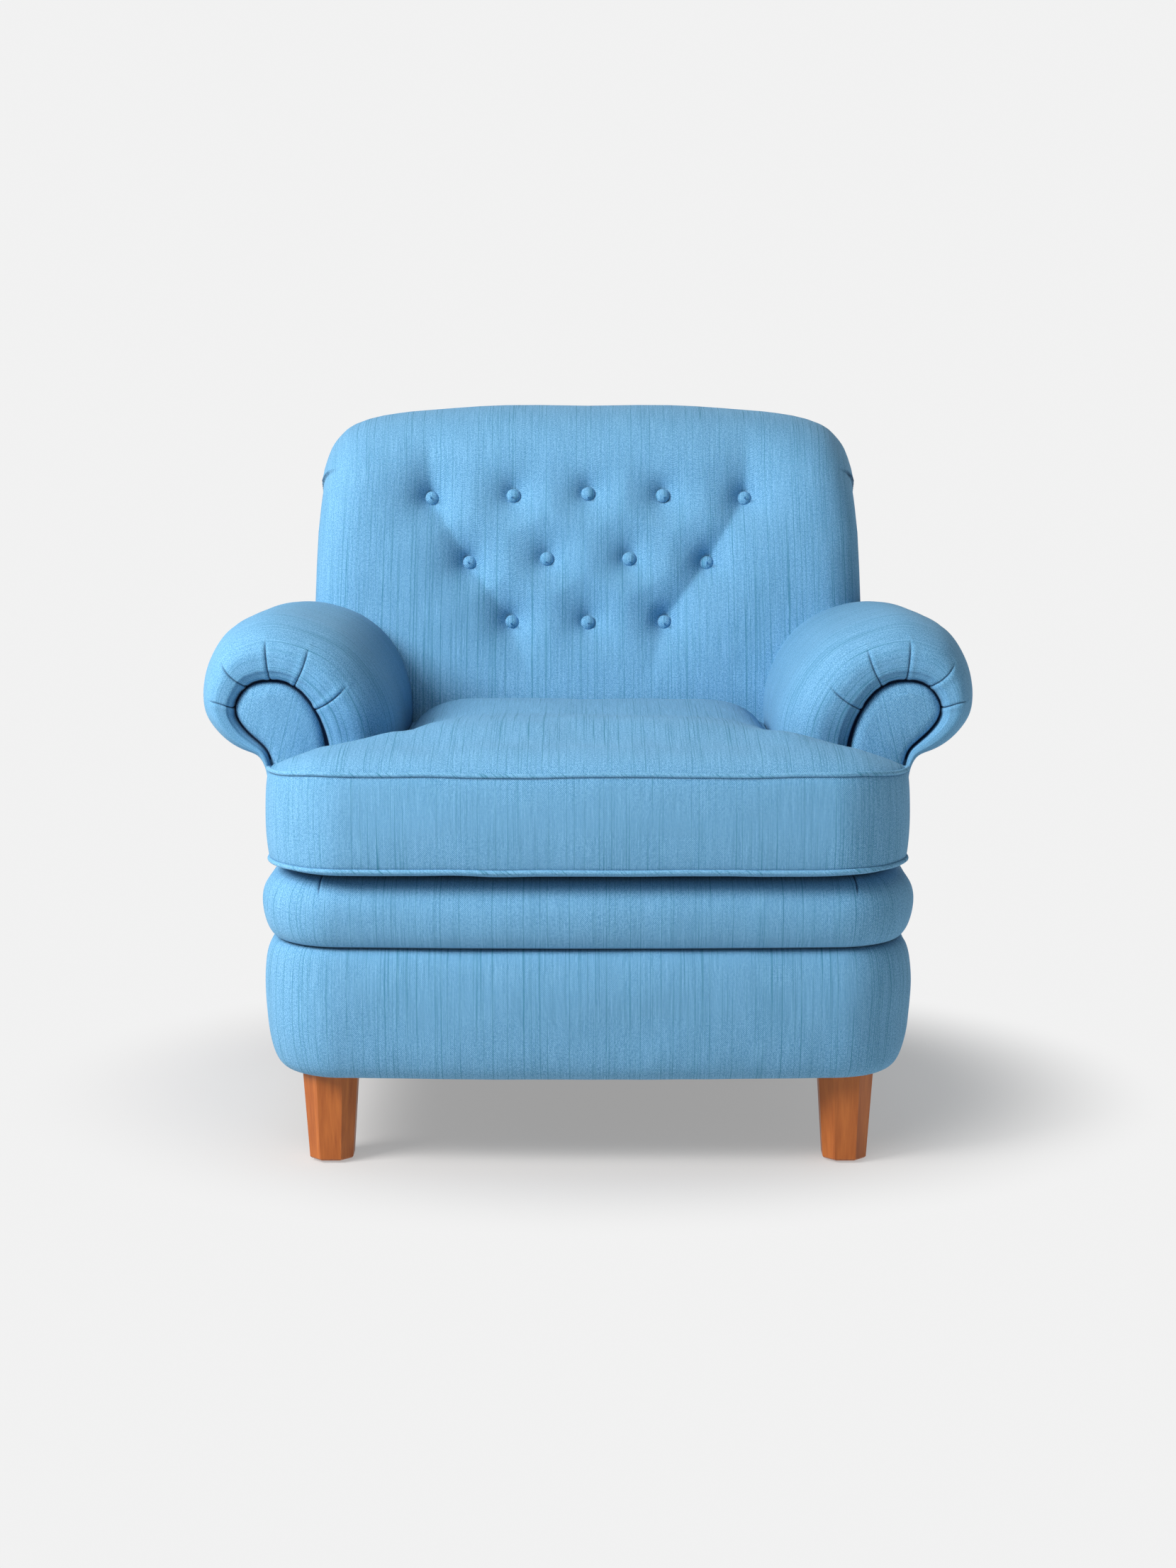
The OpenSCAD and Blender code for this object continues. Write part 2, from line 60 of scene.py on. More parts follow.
def spline(pts, closed=False, dense=24):
    """Natural cubic spline through 2-D points, resampled densely, with arc length."""
    p = np.array(pts, float)
    if closed:
        p = np.vstack([p[-3:], p, p[:4]])
    t = np.r_[0, np.cumsum(np.linalg.norm(np.diff(p, axis=0), axis=1))]
    n = len(p)
    h = np.diff(t)
    A = np.zeros((n, n)); B = np.zeros((n, p.shape[1]))
    A[0, 0] = A[-1, -1] = 1
    for i in range(1, n - 1):
        A[i, i - 1], A[i, i], A[i, i + 1] = h[i - 1], 2 * (h[i - 1] + h[i]), h[i]
        B[i] = 6 * ((p[i + 1] - p[i]) / h[i] - (p[i] - p[i - 1]) / h[i - 1])
    M = np.linalg.solve(A, B)
    out = []
    lo, hi = (3, n - 4) if closed else (0, n - 1)
    for i in range(lo, hi):
        s = np.linspace(0, 1, dense, endpoint=False)[:, None] * h[i]
        a, b = h[i] - s, s
        out.append(M[i] * a**3 / (6 * h[i]) + M[i + 1] * b**3 / (6 * h[i]) + (p[i] / h[i] - M[i] * h[i] / 6) * a + (p[i + 1] / h[i] - M[i + 1] * h[i] / 6) * b)
    out.append(p[hi][None])
    q = np.vstack(out)
    L = np.r_[0, np.cumsum(np.linalg.norm(np.diff(q, axis=0), axis=1))]
    return q, L


def resample(q, L, s):
    return np.stack([np.interp(s, L, q[:, k]) for k in range(q.shape[1])], -1)


def smooth(a, b, x):
    t = np.clip((x - a) / (b - a), 0, 1)
    return t * t * (3 - 2 * t)


def vnoise(x, y, seed=0):
    """Smooth value noise on a 2-D field, about -1 to 1."""
    r = np.random.default_rng(seed)
    g = r.uniform(-1, 1, (64, 64))
    xi, yi = np.floor(x).astype(int), np.floor(y).astype(int)
    fx, fy = x - xi, y - yi
    fx, fy = fx * fx * (3 - 2 * fx), fy * fy * (3 - 2 * fy)
    a, b = g[xi % 64, yi % 64], g[(xi + 1) % 64, yi % 64]
    c, d = g[xi % 64, (yi + 1) % 64], g[(xi + 1) % 64, (yi + 1) % 64]
    return (a * (1 - fx) + b * fx) * (1 - fy) + (c * (1 - fx) + d * fx) * fy


class Geo:
    def __init__(self):
        self.v, self.f, self.uv, self.sh, self.n = [], [], [], [], 0

    def add(self, V, F, uv=None, shade=None):
        V = np.asarray(V, float).reshape(-1, 3)
        self.v.append(V)
        for f in F:
            self.f.append([int(i) + self.n for i in f])
        self.uv.append(np.asarray(uv, float).reshape(-1, 2) if uv is not None else V[:, [0, 2]])
        self.sh.append(np.asarray(shade, float).reshape(-1) if shade is not None else np.zeros(len(V)))
        self.n += len(V)

    def grid(self, P, uv=None, shade=None, wrap=False):
        m, n = P.shape[:2]
        ix = np.arange(m * n).reshape(m, n)
        if wrap:
            ix = np.concatenate([ix, ix[:, :1]], 1)
        F = np.stack([ix[:-1, :-1], ix[:-1, 1:], ix[1:, 1:], ix[1:, :-1]], -1).reshape(-1, 4)
        self.add(P, F, uv, shade)

    def mesh(self, name, body, mat, replaces=(), weld=0.0, flip=None, smooth_on=True):
        V = np.vstack(self.v) * MM
        me = bpy.data.meshes.new(name)
        me.from_pydata(V.tolist(), [], self.f)
        uv = np.vstack(self.uv) * MM
        loops = np.zeros(len(me.loops), np.int32)
        me.loops.foreach_get("vertex_index", loops)
        lay = me.uv_layers.new(name="cloth")
        lay.data.foreach_set("uv", uv[loops].astype(np.float32).ravel())
        # the shade attribute is per-vertex painted shade for seams, grooves, folds and crevices; the cloth material
        # darkens by it
        at = me.attributes.new("shade", "FLOAT", "POINT")
        at.data.foreach_set("value", np.concatenate(self.sh).astype(np.float32))
        bm = bmesh.new(); bm.from_mesh(me)
        if weld:
            bmesh.ops.remove_doubles(bm, verts=bm.verts, dist=weld * MM)
        bmesh.ops.recalc_face_normals(bm, faces=bm.faces)
        if flip:
            bmesh.ops.reverse_faces(bm, faces=bm.faces)
        bm.to_mesh(me); bm.free()
        me.polygons.foreach_set("use_smooth", [smooth_on] * len(me.polygons))
        me.materials.append(mat)
        o = bpy.data.objects.new(name, me)
        bpy.context.scene.collection.objects.link(o)
        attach(o, body)
        if replaces:
            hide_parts(*replaces)
        return o


def tube_rings(path, r, k=10, closed=True, squash=1.0):
    """Rings of points round a 3-D path."""
    p = np.asarray(path, float)
    if closed:
        t = np.roll(p, -1, 0) - np.roll(p, 1, 0)
    else:
        t = np.gradient(p, axis=0)
    t /= np.linalg.norm(t, axis=1)[:, None]
    s = np.cross([0, 0, 1.0], t); s /= np.linalg.norm(s, axis=1)[:, None]
    w = np.cross(t, s)
    a = np.linspace(0, 2 * np.pi, k, endpoint=False)
    return p[:, None] + r * (np.cos(a)[None, :, None] * s[:, None] + squash * np.sin(a)[None, :, None] * w[:, None])


# ------------------------------------------------------------------ materials


def new_mat(name):
    m = bpy.data.materials.new(name)
    m.use_nodes = True
    nt = m.node_tree
    nt.nodes.clear()
    out = nt.nodes.new("ShaderNodeOutputMaterial")
    b = nt.nodes.new("ShaderNodeBsdfPrincipled")
    nt.links.new(b.outputs[0], out.inputs[0])
    return m, nt, b


def N(nt, kind, **kw):
    n = nt.nodes.new(kind)
    for k, v in kw.items():
        if k.startswith("in_"):
            key = k[3:]
            n.inputs[int(key) if key.isdigit() else key].default_value = v
        else:
            setattr(n, k, v)
    return n


def math_node(nt, op, a, b=None, c=None, clamp=False):
    n = nt.nodes.new("ShaderNodeMath")
    n.operation = op
    n.use_clamp = clamp
    for i, x in enumerate([a, b, c]):
        if x is None:
            continue
        if isinstance(x, (int, float)):
            n.inputs[i].default_value = x
        else:
            nt.links.new(x, n.inputs[i])
    return n.outputs[0]


def cloth_mat(name, dark, light, streak=(0.035, 0.19, 0.30), bump=0.35, bias=False):
    """Woven cloth: fine twill dots with irregular thin darker threads running along v."""
    m, nt, b = new_mat(name)
    L = nt.links
    uvn = N(nt, "ShaderNodeUVMap", uv_map="cloth")
    sc = N(nt, "ShaderNodeVectorMath", operation="SCALE"); sc.inputs["Scale"].default_value = 1000.0
    L.new(uvn.outputs[0], sc.inputs[0])
    vec = sc.outputs[0]
    if bias:
        rot = N(nt, "ShaderNodeVectorRotate", rotation_type="Z_AXIS"); rot.inputs["Angle"].default_value = math.radians(45)
        L.new(vec, rot.inputs["Vector"]); vec = rot.outputs[0]
    # slow wander of the threads
    wob = N(nt, "ShaderNodeTexNoise", noise_dimensions="2D"); wob.inputs["Scale"].default_value = 0.05; wob.inputs["Detail"].default_value = 2
    L.new(vec, wob.inputs["Vector"])
    sub = N(nt, "ShaderNodeVectorMath", operation="SUBTRACT"); sub.inputs[1].default_value = (0.5, 0.5, 0.5)
    L.new(wob.outputs["Color"], sub.inputs[0])
    mul = N(nt, "ShaderNodeVectorMath", operation="SCALE"); mul.inputs["Scale"].default_value = 0.8
    L.new(sub.outputs[0], mul.inputs[0])
    add = N(nt, "ShaderNodeVectorMath", operation="ADD"); L.new(vec, add.inputs[0]); L.new(mul.outputs[0], add.inputs[1])
    sep = N(nt, "ShaderNodeSeparateXYZ"); L.new(add.outputs[0], sep.inputs[0])
    u, v = sep.outputs[0], sep.outputs[1]
    TAU = 2 * math.pi
    au = math_node(nt, "MULTIPLY", u, TAU / 2.15)
    av = math_node(nt, "MULTIPLY", v, TAU / 2.35)
    plain = math_node(nt, "MULTIPLY", math_node(nt, "SINE", au), math_node(nt, "SINE", av))
    twill = math_node(nt, "SINE", math_node(nt, "ADD", au, av))
    # cloth shows twill in places and plain dots in others
    pt = N(nt, "ShaderNodeTexNoise", noise_dimensions="2D"); pt.inputs["Scale"].default_value = 0.035; pt.inputs["Detail"].default_value = 1
    L.new(vec, pt.inputs["Vector"])
    pm = N(nt, "ShaderNodeMapRange"); pm.inputs["From Min"].default_value = 0.35; pm.inputs["From Max"].default_value = 0.65
    L.new(pt.outputs["Fac"], pm.inputs["Value"])
    h = math_node(nt, "ADD", math_node(nt, "MULTIPLY", plain, 0.46), math_node(nt, "MULTIPLY", math_node(nt, "MULTIPLY", twill, pm.outputs[0]), 0.26))
    h = math_node(nt, "ADD", h, 0.5)
    # speckle of single stitches
    sp = N(nt, "ShaderNodeTexNoise", noise_dimensions="2D"); sp.inputs["Scale"].default_value = 0.55; sp.inputs["Detail"].default_value = 1.5
    L.new(vec, sp.inputs["Vector"])
    h = math_node(nt, "ADD", h, math_node(nt, "MULTIPLY", math_node(nt, "SUBTRACT", sp.outputs["Fac"], 0.5), 1.25), clamp=True)
    sp2 = N(nt, "ShaderNodeTexNoise", noise_dimensions="2D"); sp2.inputs["Scale"].default_value = 0.27; sp2.inputs["Detail"].default_value = 1.0
    L.new(vec, sp2.inputs["Vector"])
    h = math_node(nt, "ADD", h, math_node(nt, "MULTIPLY", math_node(nt, "SUBTRACT", sp2.outputs["Fac"], 0.5), 0.28), clamp=True)
    ramp = N(nt, "ShaderNodeMix", data_type="RGBA")
    ramp.inputs["A"].default_value = (*dark, 1); ramp.inputs["B"].default_value = (*light, 1)
    L.new(h, ramp.inputs["Factor"])
    # thin irregular threads: noise stretched along v
    def thread(su, sv, lo, hi, off):
        comb = N(nt, "ShaderNodeCombineXYZ")
        L.new(math_node(nt, "MULTIPLY", u, su), comb.inputs[0]); L.new(math_node(nt, "ADD", math_node(nt, "MULTIPLY", v, sv), off), comb.inputs[1])
        st = N(nt, "ShaderNodeTexNoise", noise_dimensions="2D"); st.inputs["Scale"].default_value = 1.0; st.inputs["Detail"].default_value = 1.0
        L.new(comb.outputs[0], st.inputs["Vector"])
        mr = N(nt, "ShaderNodeMapRange"); mr.inputs["From Min"].default_value = lo; mr.inputs["From Max"].default_value = hi
        L.new(st.outputs["Fac"], mr.inputs["Value"])
        return mr.outputs[0]
    strong = thread(0.60, 0.0022, 0.64, 0.70, 0.0)
    fine = thread(0.62, 0.012, 0.50, 0.70, 40.0)
    pale = thread(0.55, 0.022, 0.56, 0.74, 90.0)
    mixd = N(nt, "ShaderNodeMix", data_type="RGBA"); mixd.inputs["B"].default_value = (*streak, 1)
    L.new(math_node(nt, "ADD", math_node(nt, "MULTIPLY", strong, 0.62), math_node(nt, "MULTIPLY", fine, 0.20), clamp=True), mixd.inputs["Factor"]); L.new(ramp.outputs["Result"], mixd.inputs["A"])
    mixl = N(nt, "ShaderNodeMix", data_type="RGBA"); mixl.inputs["B"].default_value = (*[min(1, c * 1.1) for c in light], 1)
    L.new(math_node(nt, "MULTIPLY", pale, 0.22), mixl.inputs["Factor"]); L.new(mixd.outputs["Result"], mixl.inputs["A"])
    # painted shade in seams, grooves, folds and crevices, from the mesh's shade attribute: it mixes the cloth colour
    # towards near black
    at = N(nt, "ShaderNodeAttribute", attribute_name="shade")
    painted_shade_mix = N(nt, "ShaderNodeMix", data_type="RGBA"); painted_shade_mix.inputs["B"].default_value = (dark[0] * 0.05, dark[1] * 0.06, dark[2] * 0.12, 1)
    L.new(math_node(nt, "MULTIPLY", at.outputs["Fac"], 1.0, clamp=True), painted_shade_mix.inputs["Factor"]); L.new(mixl.outputs["Result"], painted_shade_mix.inputs["A"])
    L.new(painted_shade_mix.outputs["Result"], b.inputs["Base Color"])
    b.inputs["Roughness"].default_value = 0.88
    b.inputs["Specular IOR Level"].default_value = 0.18
    b.inputs["Sheen Weight"].default_value = 0.10
    b.inputs["Sheen Roughness"].default_value = 0.45
    b.inputs["Sheen Tint"].default_value = (0.6, 0.85, 1.0, 1)
    bp = N(nt, "ShaderNodeBump"); bp.inputs["Strength"].default_value = bump; bp.inputs["Distance"].default_value = 0.0008
    hb = math_node(nt, "SUBTRACT", h, math_node(nt, "MULTIPLY", strong, 0.2))
    L.new(hb, bp.inputs["Height"]); L.new(bp.outputs[0], b.inputs["Normal"])
    return m


def plain_mat(name, col, rough=0.8, scale=250.0, amount=0.18, metallic=0.0, bump=0.1, stretch=(1, 1, 1)):
    m, nt, b = new_mat(name)
    L = nt.links
    tc = N(nt, "ShaderNodeTexCoord")
    mp = N(nt, "ShaderNodeMapping"); mp.inputs["Scale"].default_value = stretch
    L.new(tc.outputs["Object"], mp.inputs[0])
    nz = N(nt, "ShaderNodeTexNoise"); nz.inputs["Scale"].default_value = scale; nz.inputs["Detail"].default_value = 4
    L.new(mp.outputs[0], nz.inputs["Vector"])
    mx = N(nt, "ShaderNodeMix", data_type="RGBA")
    mx.inputs["A"].default_value = (*[c * (1 - amount) for c in col], 1)
    mx.inputs["B"].default_value = (*[min(1, c * (1 + amount)) for c in col], 1)
    L.new(nz.outputs["Fac"], mx.inputs["Factor"]); L.new(mx.outputs["Result"], b.inputs["Base Color"])
    b.inputs["Roughness"].default_value = rough
    b.inputs["Metallic"].default_value = metallic
    bp = N(nt, "ShaderNodeBump"); bp.inputs["Strength"].default_value = bump; bp.inputs["Distance"].default_value = 0.0006
    L.new(nz.outputs["Fac"], bp.inputs["Height"]); L.new(bp.outputs[0], b.inputs["Normal"])
    return m


def wood_mat(name, c1, c2, rough=0.42, axis=2):
    """Straight grain along the given axis."""
    m, nt, b = new_mat(name)
    L = nt.links
    tc = N(nt, "ShaderNodeTexCoord")
    mp = N(nt, "ShaderNodeMapping")
    sc = [55.0, 55.0, 55.0]; sc[axis] = 3.2
    mp.inputs["Scale"].default_value = sc
    L.new(tc.outputs["Object"], mp.inputs[0])
    nz = N(nt, "ShaderNodeTexNoise"); nz.inputs["Scale"].default_value = 1.6; nz.inputs["Detail"].default_value = 5; nz.inputs["Distortion"].default_value = 0.6
    L.new(mp.outputs[0], nz.inputs["Vector"])
    mp2 = N(nt, "ShaderNodeMapping")
    s2 = [420.0, 420.0, 420.0]; s2[axis] = 14.0
    mp2.inputs["Scale"].default_value = s2
    L.new(tc.outputs["Object"], mp2.inputs[0])
    fine = N(nt, "ShaderNodeTexNoise"); fine.inputs["Scale"].default_value = 1.0; fine.inputs["Detail"].default_value = 3
    L.new(mp2.outputs[0], fine.inputs["Vector"])
    f = math_node(nt, "ADD", math_node(nt, "MULTIPLY", nz.outputs["Fac"], 0.75), math_node(nt, "MULTIPLY", fine.outputs["Fac"], 0.35))
    mr = N(nt, "ShaderNodeMapRange"); mr.inputs["From Min"].default_value = 0.34; mr.inputs["From Max"].default_value = 0.74
    L.new(f, mr.inputs["Value"])
    mx = N(nt, "ShaderNodeMix", data_type="RGBA"); mx.inputs["A"].default_value = (*c1, 1); mx.inputs["B"].default_value = (*c2, 1)
    L.new(mr.outputs[0], mx.inputs["Factor"]); L.new(mx.outputs["Result"], b.inputs["Base Color"])
    b.inputs["Roughness"].default_value = rough
    b.inputs["Specular IOR Level"].default_value = 0.4
    bp = N(nt, "ShaderNodeBump"); bp.inputs["Strength"].default_value = 0.12; bp.inputs["Distance"].default_value = 0.0004
    L.new(f, bp.inputs["Height"]); L.new(bp.outputs[0], b.inputs["Normal"])
    return m


DARK, LIGHT = (0.046, 0.195, 0.375), (0.240, 0.505, 0.745)
M_FAB = cloth_mat("blue_cloth", DARK, LIGHT)
M_PIPE = cloth_mat("blue_cloth_bias", (0.070, 0.25, 0.45), (0.25, 0.52, 0.76), bump=0.5, bias=True)
M_LEG = wood_mat("leg_wood", (0.30, 0.070, 0.010), (0.52, 0.155, 0.028), rough=0.40)
M_FRAME_X = wood_mat("beech_x", (0.55, 0.36, 0.18), (0.74, 0.54, 0.31), rough=0.6, axis=0)
M_FRAME_Y = wood_mat("beech_y", (0.55, 0.36, 0.18), (0.74, 0.54, 0.31), rough=0.6, axis=1)
M_FRAME_Z = wood_mat("beech_z", (0.55, 0.36, 0.18), (0.74, 0.54, 0.31), rough=0.6, axis=2)
M_FOAM = plain_mat("foam", (0.86, 0.80, 0.62), rough=0.95, scale=900, amount=0.08, bump=0.25)
M_STEEL = plain_mat("steel", (0.50, 0.50, 0.52), rough=0.38, scale=400, amount=0.1, metallic=1.0)
M_SPRING = plain_mat("spring_steel", (0.25, 0.25, 0.27), rough=0.42, scale=400, amount=0.1, metallic=1.0)
M_CLIP = plain_mat("black_clip", (0.04, 0.04, 0.045), rough=0.5, scale=300)
M_JUTE = plain_mat("jute", (0.42, 0.30, 0.17), rough=0.9, scale=500, amount=0.3, bump=0.5)
M_DUST = plain_mat("dust_cloth", (0.022, 0.022, 0.025), rough=0.95, scale=800, amount=0.3, bump=0.3)
M_DECK = plain_mat("deck_cloth", (0.05, 0.05, 0.055), rough=0.95, scale=800, amount=0.3, bump=0.3)
M_GLIDE = plain_mat("glide_plastic", (0.03, 0.03, 0.03), rough=0.5, scale=300)
M_ZIP = plain_mat("zip_tape", (0.12, 0.30, 0.45), rough=0.85, scale=900, amount=0.2, bump=0.4)

# ------------------------------------------------------------------ back


def y_rear(z):
    return 346 + 0.1075 * (z - 112)


BACK_PROF = [[112, 345.4], [112, 400], [111, 450], [113, 482], [128, 540], [146, 600], [162, 655], [177, 705], [191, 750], [206, 783], [226, 810], [252, 831], [288, 847], [328, 853.5], [365, 850], [394, 838], [411, 818], [418.5, 797]]
BUTTONS = [(0, 740.5), (98, 738), (-98, 738), (206, 734.5), (-206, 734.5), (54, 658), (-54, 658), (156, 652.5), (-156, 652.5), (0, 578), (100, 578), (-100, 578)]


def crest_z(x):
    return np.interp(np.abs(x), [0, 66, 110, 145, 181, 219, 238, 258, 277, 296, 315, 325, 332, 339, 345, 350, 354, 357, 359], [852.6, 853.6, 853.4, 852, 849.5, 846.5, 845, 842.5, 839.5, 835, 828, 822, 815.5, 808, 800, 789, 778, 770, 764])


def poly_dist(x, z, P):
    """Signed distance to a polygon, positive outside."""
    P = np.array(P, float); n = len(P)
    d = np.full(x.shape, 1e9); inside = np.zeros(x.shape, bool)
    for i in range(n):
        a, b = P[i], P[(i + 1) % n]
        e = b - a
        t = np.clip(((x - a[0]) * e[0] + (z - a[1]) * e[1]) / (e @ e), 0, 1)
        d = np.minimum(d, np.hypot(x - a[0] - t * e[0], z - a[1] - t * e[1]))
        if abs(e[1]) > 1e-9:
            inside ^= ((a[1] > z) != (b[1] > z)) & (x < a[0] + (z - a[1]) * e[0] / e[1])
    return np.where(inside, -d, d)


def seg_dist(x, z, a, b):
    a, b = np.array(a, float), np.array(b, float)
    e = b - a
    t = np.clip(((x - a[0]) * e[0] + (z - a[1]) * e[1]) / (e @ e), 0, 1)
    return np.hypot(x - a[0] - t * e[0], z - a[1] - t * e[1])


BUTTONS = [(bx, bz - (3.4 if bz < 600 else 2.2 if bz < 700 else 1.2)) for bx, bz in BUTTONS]


def tuft(x, z):
    """How far the buttoned front lies behind the padded border, in mm."""
    P = [(-214, 862), (214, 862), (207, 738), (156, 653), (100, 578), (76, 500), (-76, 500), (-100, 578), (-156, 653), (-207, 738)]
    s = poly_dist(x, z, P)
    B = np.clip(s / 92.0, 0, 1)
    inner = np.clip(-s / 26.0, 0, 1)
    fade = smooth(455, 590, z)
    topf = 1 - smooth(742, 842, z)
    D = (17.0 * (1 - B) ** 2.1 - 2.5 * inner) * fade * topf
    # the cloth is pulled taut from button to button along the slanted sides
    for sx in (-1, 1):
        for a, b, k, wd in (((206 * sx, 830), (206 * sx, 734.5), 2.2, 17.0), ((206 * sx, 734.5), (156 * sx, 652.5), 4.0, 10.0), ((156 * sx, 652.5), (100 * sx, 578), 4.0, 10.0), ((100 * sx, 578), (88 * sx, 500), 2.2, 14.0)):
            D = D + 0.8 * k * np.exp(-(seg_dist(x, z, a, b) / (1.25 * wd)) ** 1.5) * (1 - smooth(790, 842, z)) * smooth(490, 570, z)
    dim = np.zeros_like(x)
    for bx, bz in BUTTONS:
        r = np.hypot((x - bx), (z - bz) * np.where(z > bz, 0.82, 1.2))
        dim = np.maximum(dim, 20.0 * np.exp(-np.maximum(r - 7.0, 0) / 19.0))
    # padding swells between the buttons
    puff = np.zeros_like(x)
    for cx, cz in ((49, 705), (-49, 705), (152, 700), (-152, 700), (0, 655), (105, 640), (-105, 640), (50, 612), (-50, 612), (0, 775), (-104, 775), (104, 775)):
        puff = puff + 2.4 * np.exp(-(((x - cx) / 34) ** 2 + ((z - cz) / 30) ** 2))
    return D + dim - puff


def back_surface(nx_step=3.4, row_step=3.2, inset=0.0):
    q, L = spline(BACK_PROF)
    rows = np.linspace(0, L[-1], int(L[-1] / row_step))
    prof = resample(q, L, rows)
    # columns: across the front, round the edge, then back along the side
    R, W = 62.0, 359.0
    t = np.linspace(0, math.pi / 2, 22)
    xa = W - R + R * np.sin(t); da = 50 * (1 - np.cos(t))
    xf = np.linspace(0, W - R, int((W - R) / nx_step))[:-1]
    x = np.r_[xf, xa]; dl = np.r_[np.zeros(len(xf)), da]
    x = np.r_[-x[:0:-1], x]; dl = np.r_[dl[:0:-1], dl]
    X, Yb = np.meshgrid(x, prof[:, 0]); _, Z0 = np.meshgrid(x, prof[:, 1])
    DL = np.meshgrid(dl, prof[:, 0])[0]
    wz = np.interp(Z0, [345, 560, 596, 642, 679, 717, 750, 785, 815, 860], [359, 359, 358, 357, 355.6, 354.2, 353.0, 351.5, 353, 356]) / 359.0
    top = crest_z(X * (0.35 + 0.65 * wz))
    X = X * wz
    Z = np.where(Z0 <= 690, Z0, 690 + (Z0 - 690) * (top - 690) / (853.5 - 690))
    Y = Yb + DL * np.clip((405 - Yb) / 150, 0, 1)
    T = tuft(X, Z) * np.clip((300 - Yb) / 60, 0, 1)
    # outward wobble of the padding
    wob = 1.3 * vnoise(X / 75 + 9, Z / 65, 3) + 0.35 * vnoise(X / 24 + 3, Z / 30 + 5, 4)
    Y = Y + T + wob * smooth(490, 560, Z) * (np.abs(X) < 350)
    Y = np.minimum(Y, y_rear(Z) - 0.5)
    P = np.stack([X, Y, Z], -1)
    # side walls, fanned from the last column to the rear edge
    zr = np.linspace(337.5, P[-1, -1, 2] - 0.5, len(rows))
    side = []
    for sgn, edge in ((-1, P[:, 0]), (1, P[:, -1])):
        rear = np.stack([sgn * np.interp(zr, [600, 700, 745], [358.5, 356.6, 354.0]), y_rear(zr) - 0.5, zr], -1)
        k = np.linspace(0, 1, 26)[1:, None, None]
        mid = edge[None] * (1 - k) + rear[None] * k
        bul = np.sin(np.pi * np.linspace(0, 1, 26)[1:])[:, None] * 1.2
        mid[..., 0] += sgn * bul
        side.append(mid.transpose(1, 0, 2))
    P = np.concatenate([side[0][:, ::-1], P, side[1]], 1)
    return P


def fold_pleat(P):
    """The pleat where the front cloth is tucked round each top corner."""
    sh = np.zeros(P.shape[:2])
    for sg in (-1, 1):
        x, y, z = P[..., 0] * sg, P[..., 1], P[..., 2]
        path = [(327, 770), (338, 763), (350, 752), (362, 741)]
        # work in a plane that unrolls the side: distance round the edge
        s = np.where(x < 300, x, 300 + np.hypot(x - 300, y - np.interp(z, [600, 700, 770], [146, 176, 205])) * 0.62)
        d = np.full(s.shape, 1e9); sd = np.zeros(s.shape)
        pts = [(322, 773), (336, 767), (352, 757), (372, 744), (396, 730)]
        for a, b in zip(pts[:-1], pts[1:]):
            a, b = np.array(a, float), np.array(b, float); e = b - a
            t = np.clip(((s - a[0]) * e[0] + (z - a[1]) * e[1]) / (e @ e), 0, 1)
            dd = np.hypot(s - a[0] - t * e[0], z - a[1] - t * e[1])
            side = np.sign((s - a[0]) * e[1] - (z - a[1]) * e[0])
            new = dd < d
            d = np.where(new, dd, d); sd = np.where(new, side * dd, sd)
        k = smooth(318, 345, s) * (x > 300)
        # above the fold the cloth overhangs, below it drops under
        step = np.where(sd < 0, 2.6 * np.exp(-np.abs(sd) / 12), -2.2 * np.exp(-np.abs(sd) / 5)) * k
        P[..., 0] += sg * step * smooth(300, 345, x) * 0.8
        P[..., 1] -= step * 0.6 * (1 - smooth(340, 359, x))
        # painted shade along the fold line, kept in sh and carried in the shade attribute
        sh = np.maximum(sh, np.exp(-(sd / 1.6) ** 2) * k * 0.85 * (s < 420))
    return sh


def grid_uv(P, across=None):
    """Arc lengths along both directions of a grid, taken on its middle lines."""
    du = np.linalg.norm(np.diff(P, axis=1), axis=-1).mean(0)
    dv = np.linalg.norm(np.diff(P, axis=0), axis=-1)
    u = np.r_[0, np.cumsum(du)]; u -= u[len(u) // 2]
    v = np.concatenate([np.zeros((1, P.shape[1])), np.cumsum(dv, 0)], 0)
    U = np.broadcast_to(u[None], P.shape[:2])
    return np.stack([U, v], -1)


Pb = back_surface()
sh_b = fold_pleat(Pb)
uv_b = grid_uv(Pb)
uv_b[..., 0] = np.where(np.abs(Pb[..., 0]) < 300, Pb[..., 0], uv_b[..., 0] - uv_b[..., 0] * 0 )
uv_b = grid_uv(Pb)
g = Geo(); g.grid(Pb, uv_b, sh_b)
back_front = g.mesh("inside_back_cloth", "chair_body", M_FAB, ["inside_back_cover"])

# buttons
q, L = spline(BACK_PROF)


def back_y(x, z):
    return np.interp(z, q[: np.argmax(q[:, 1]), 1], q[: np.argmax(q[:, 1]), 0]) + tuft(np.array([float(x)]), np.array([float(z)]))[0]


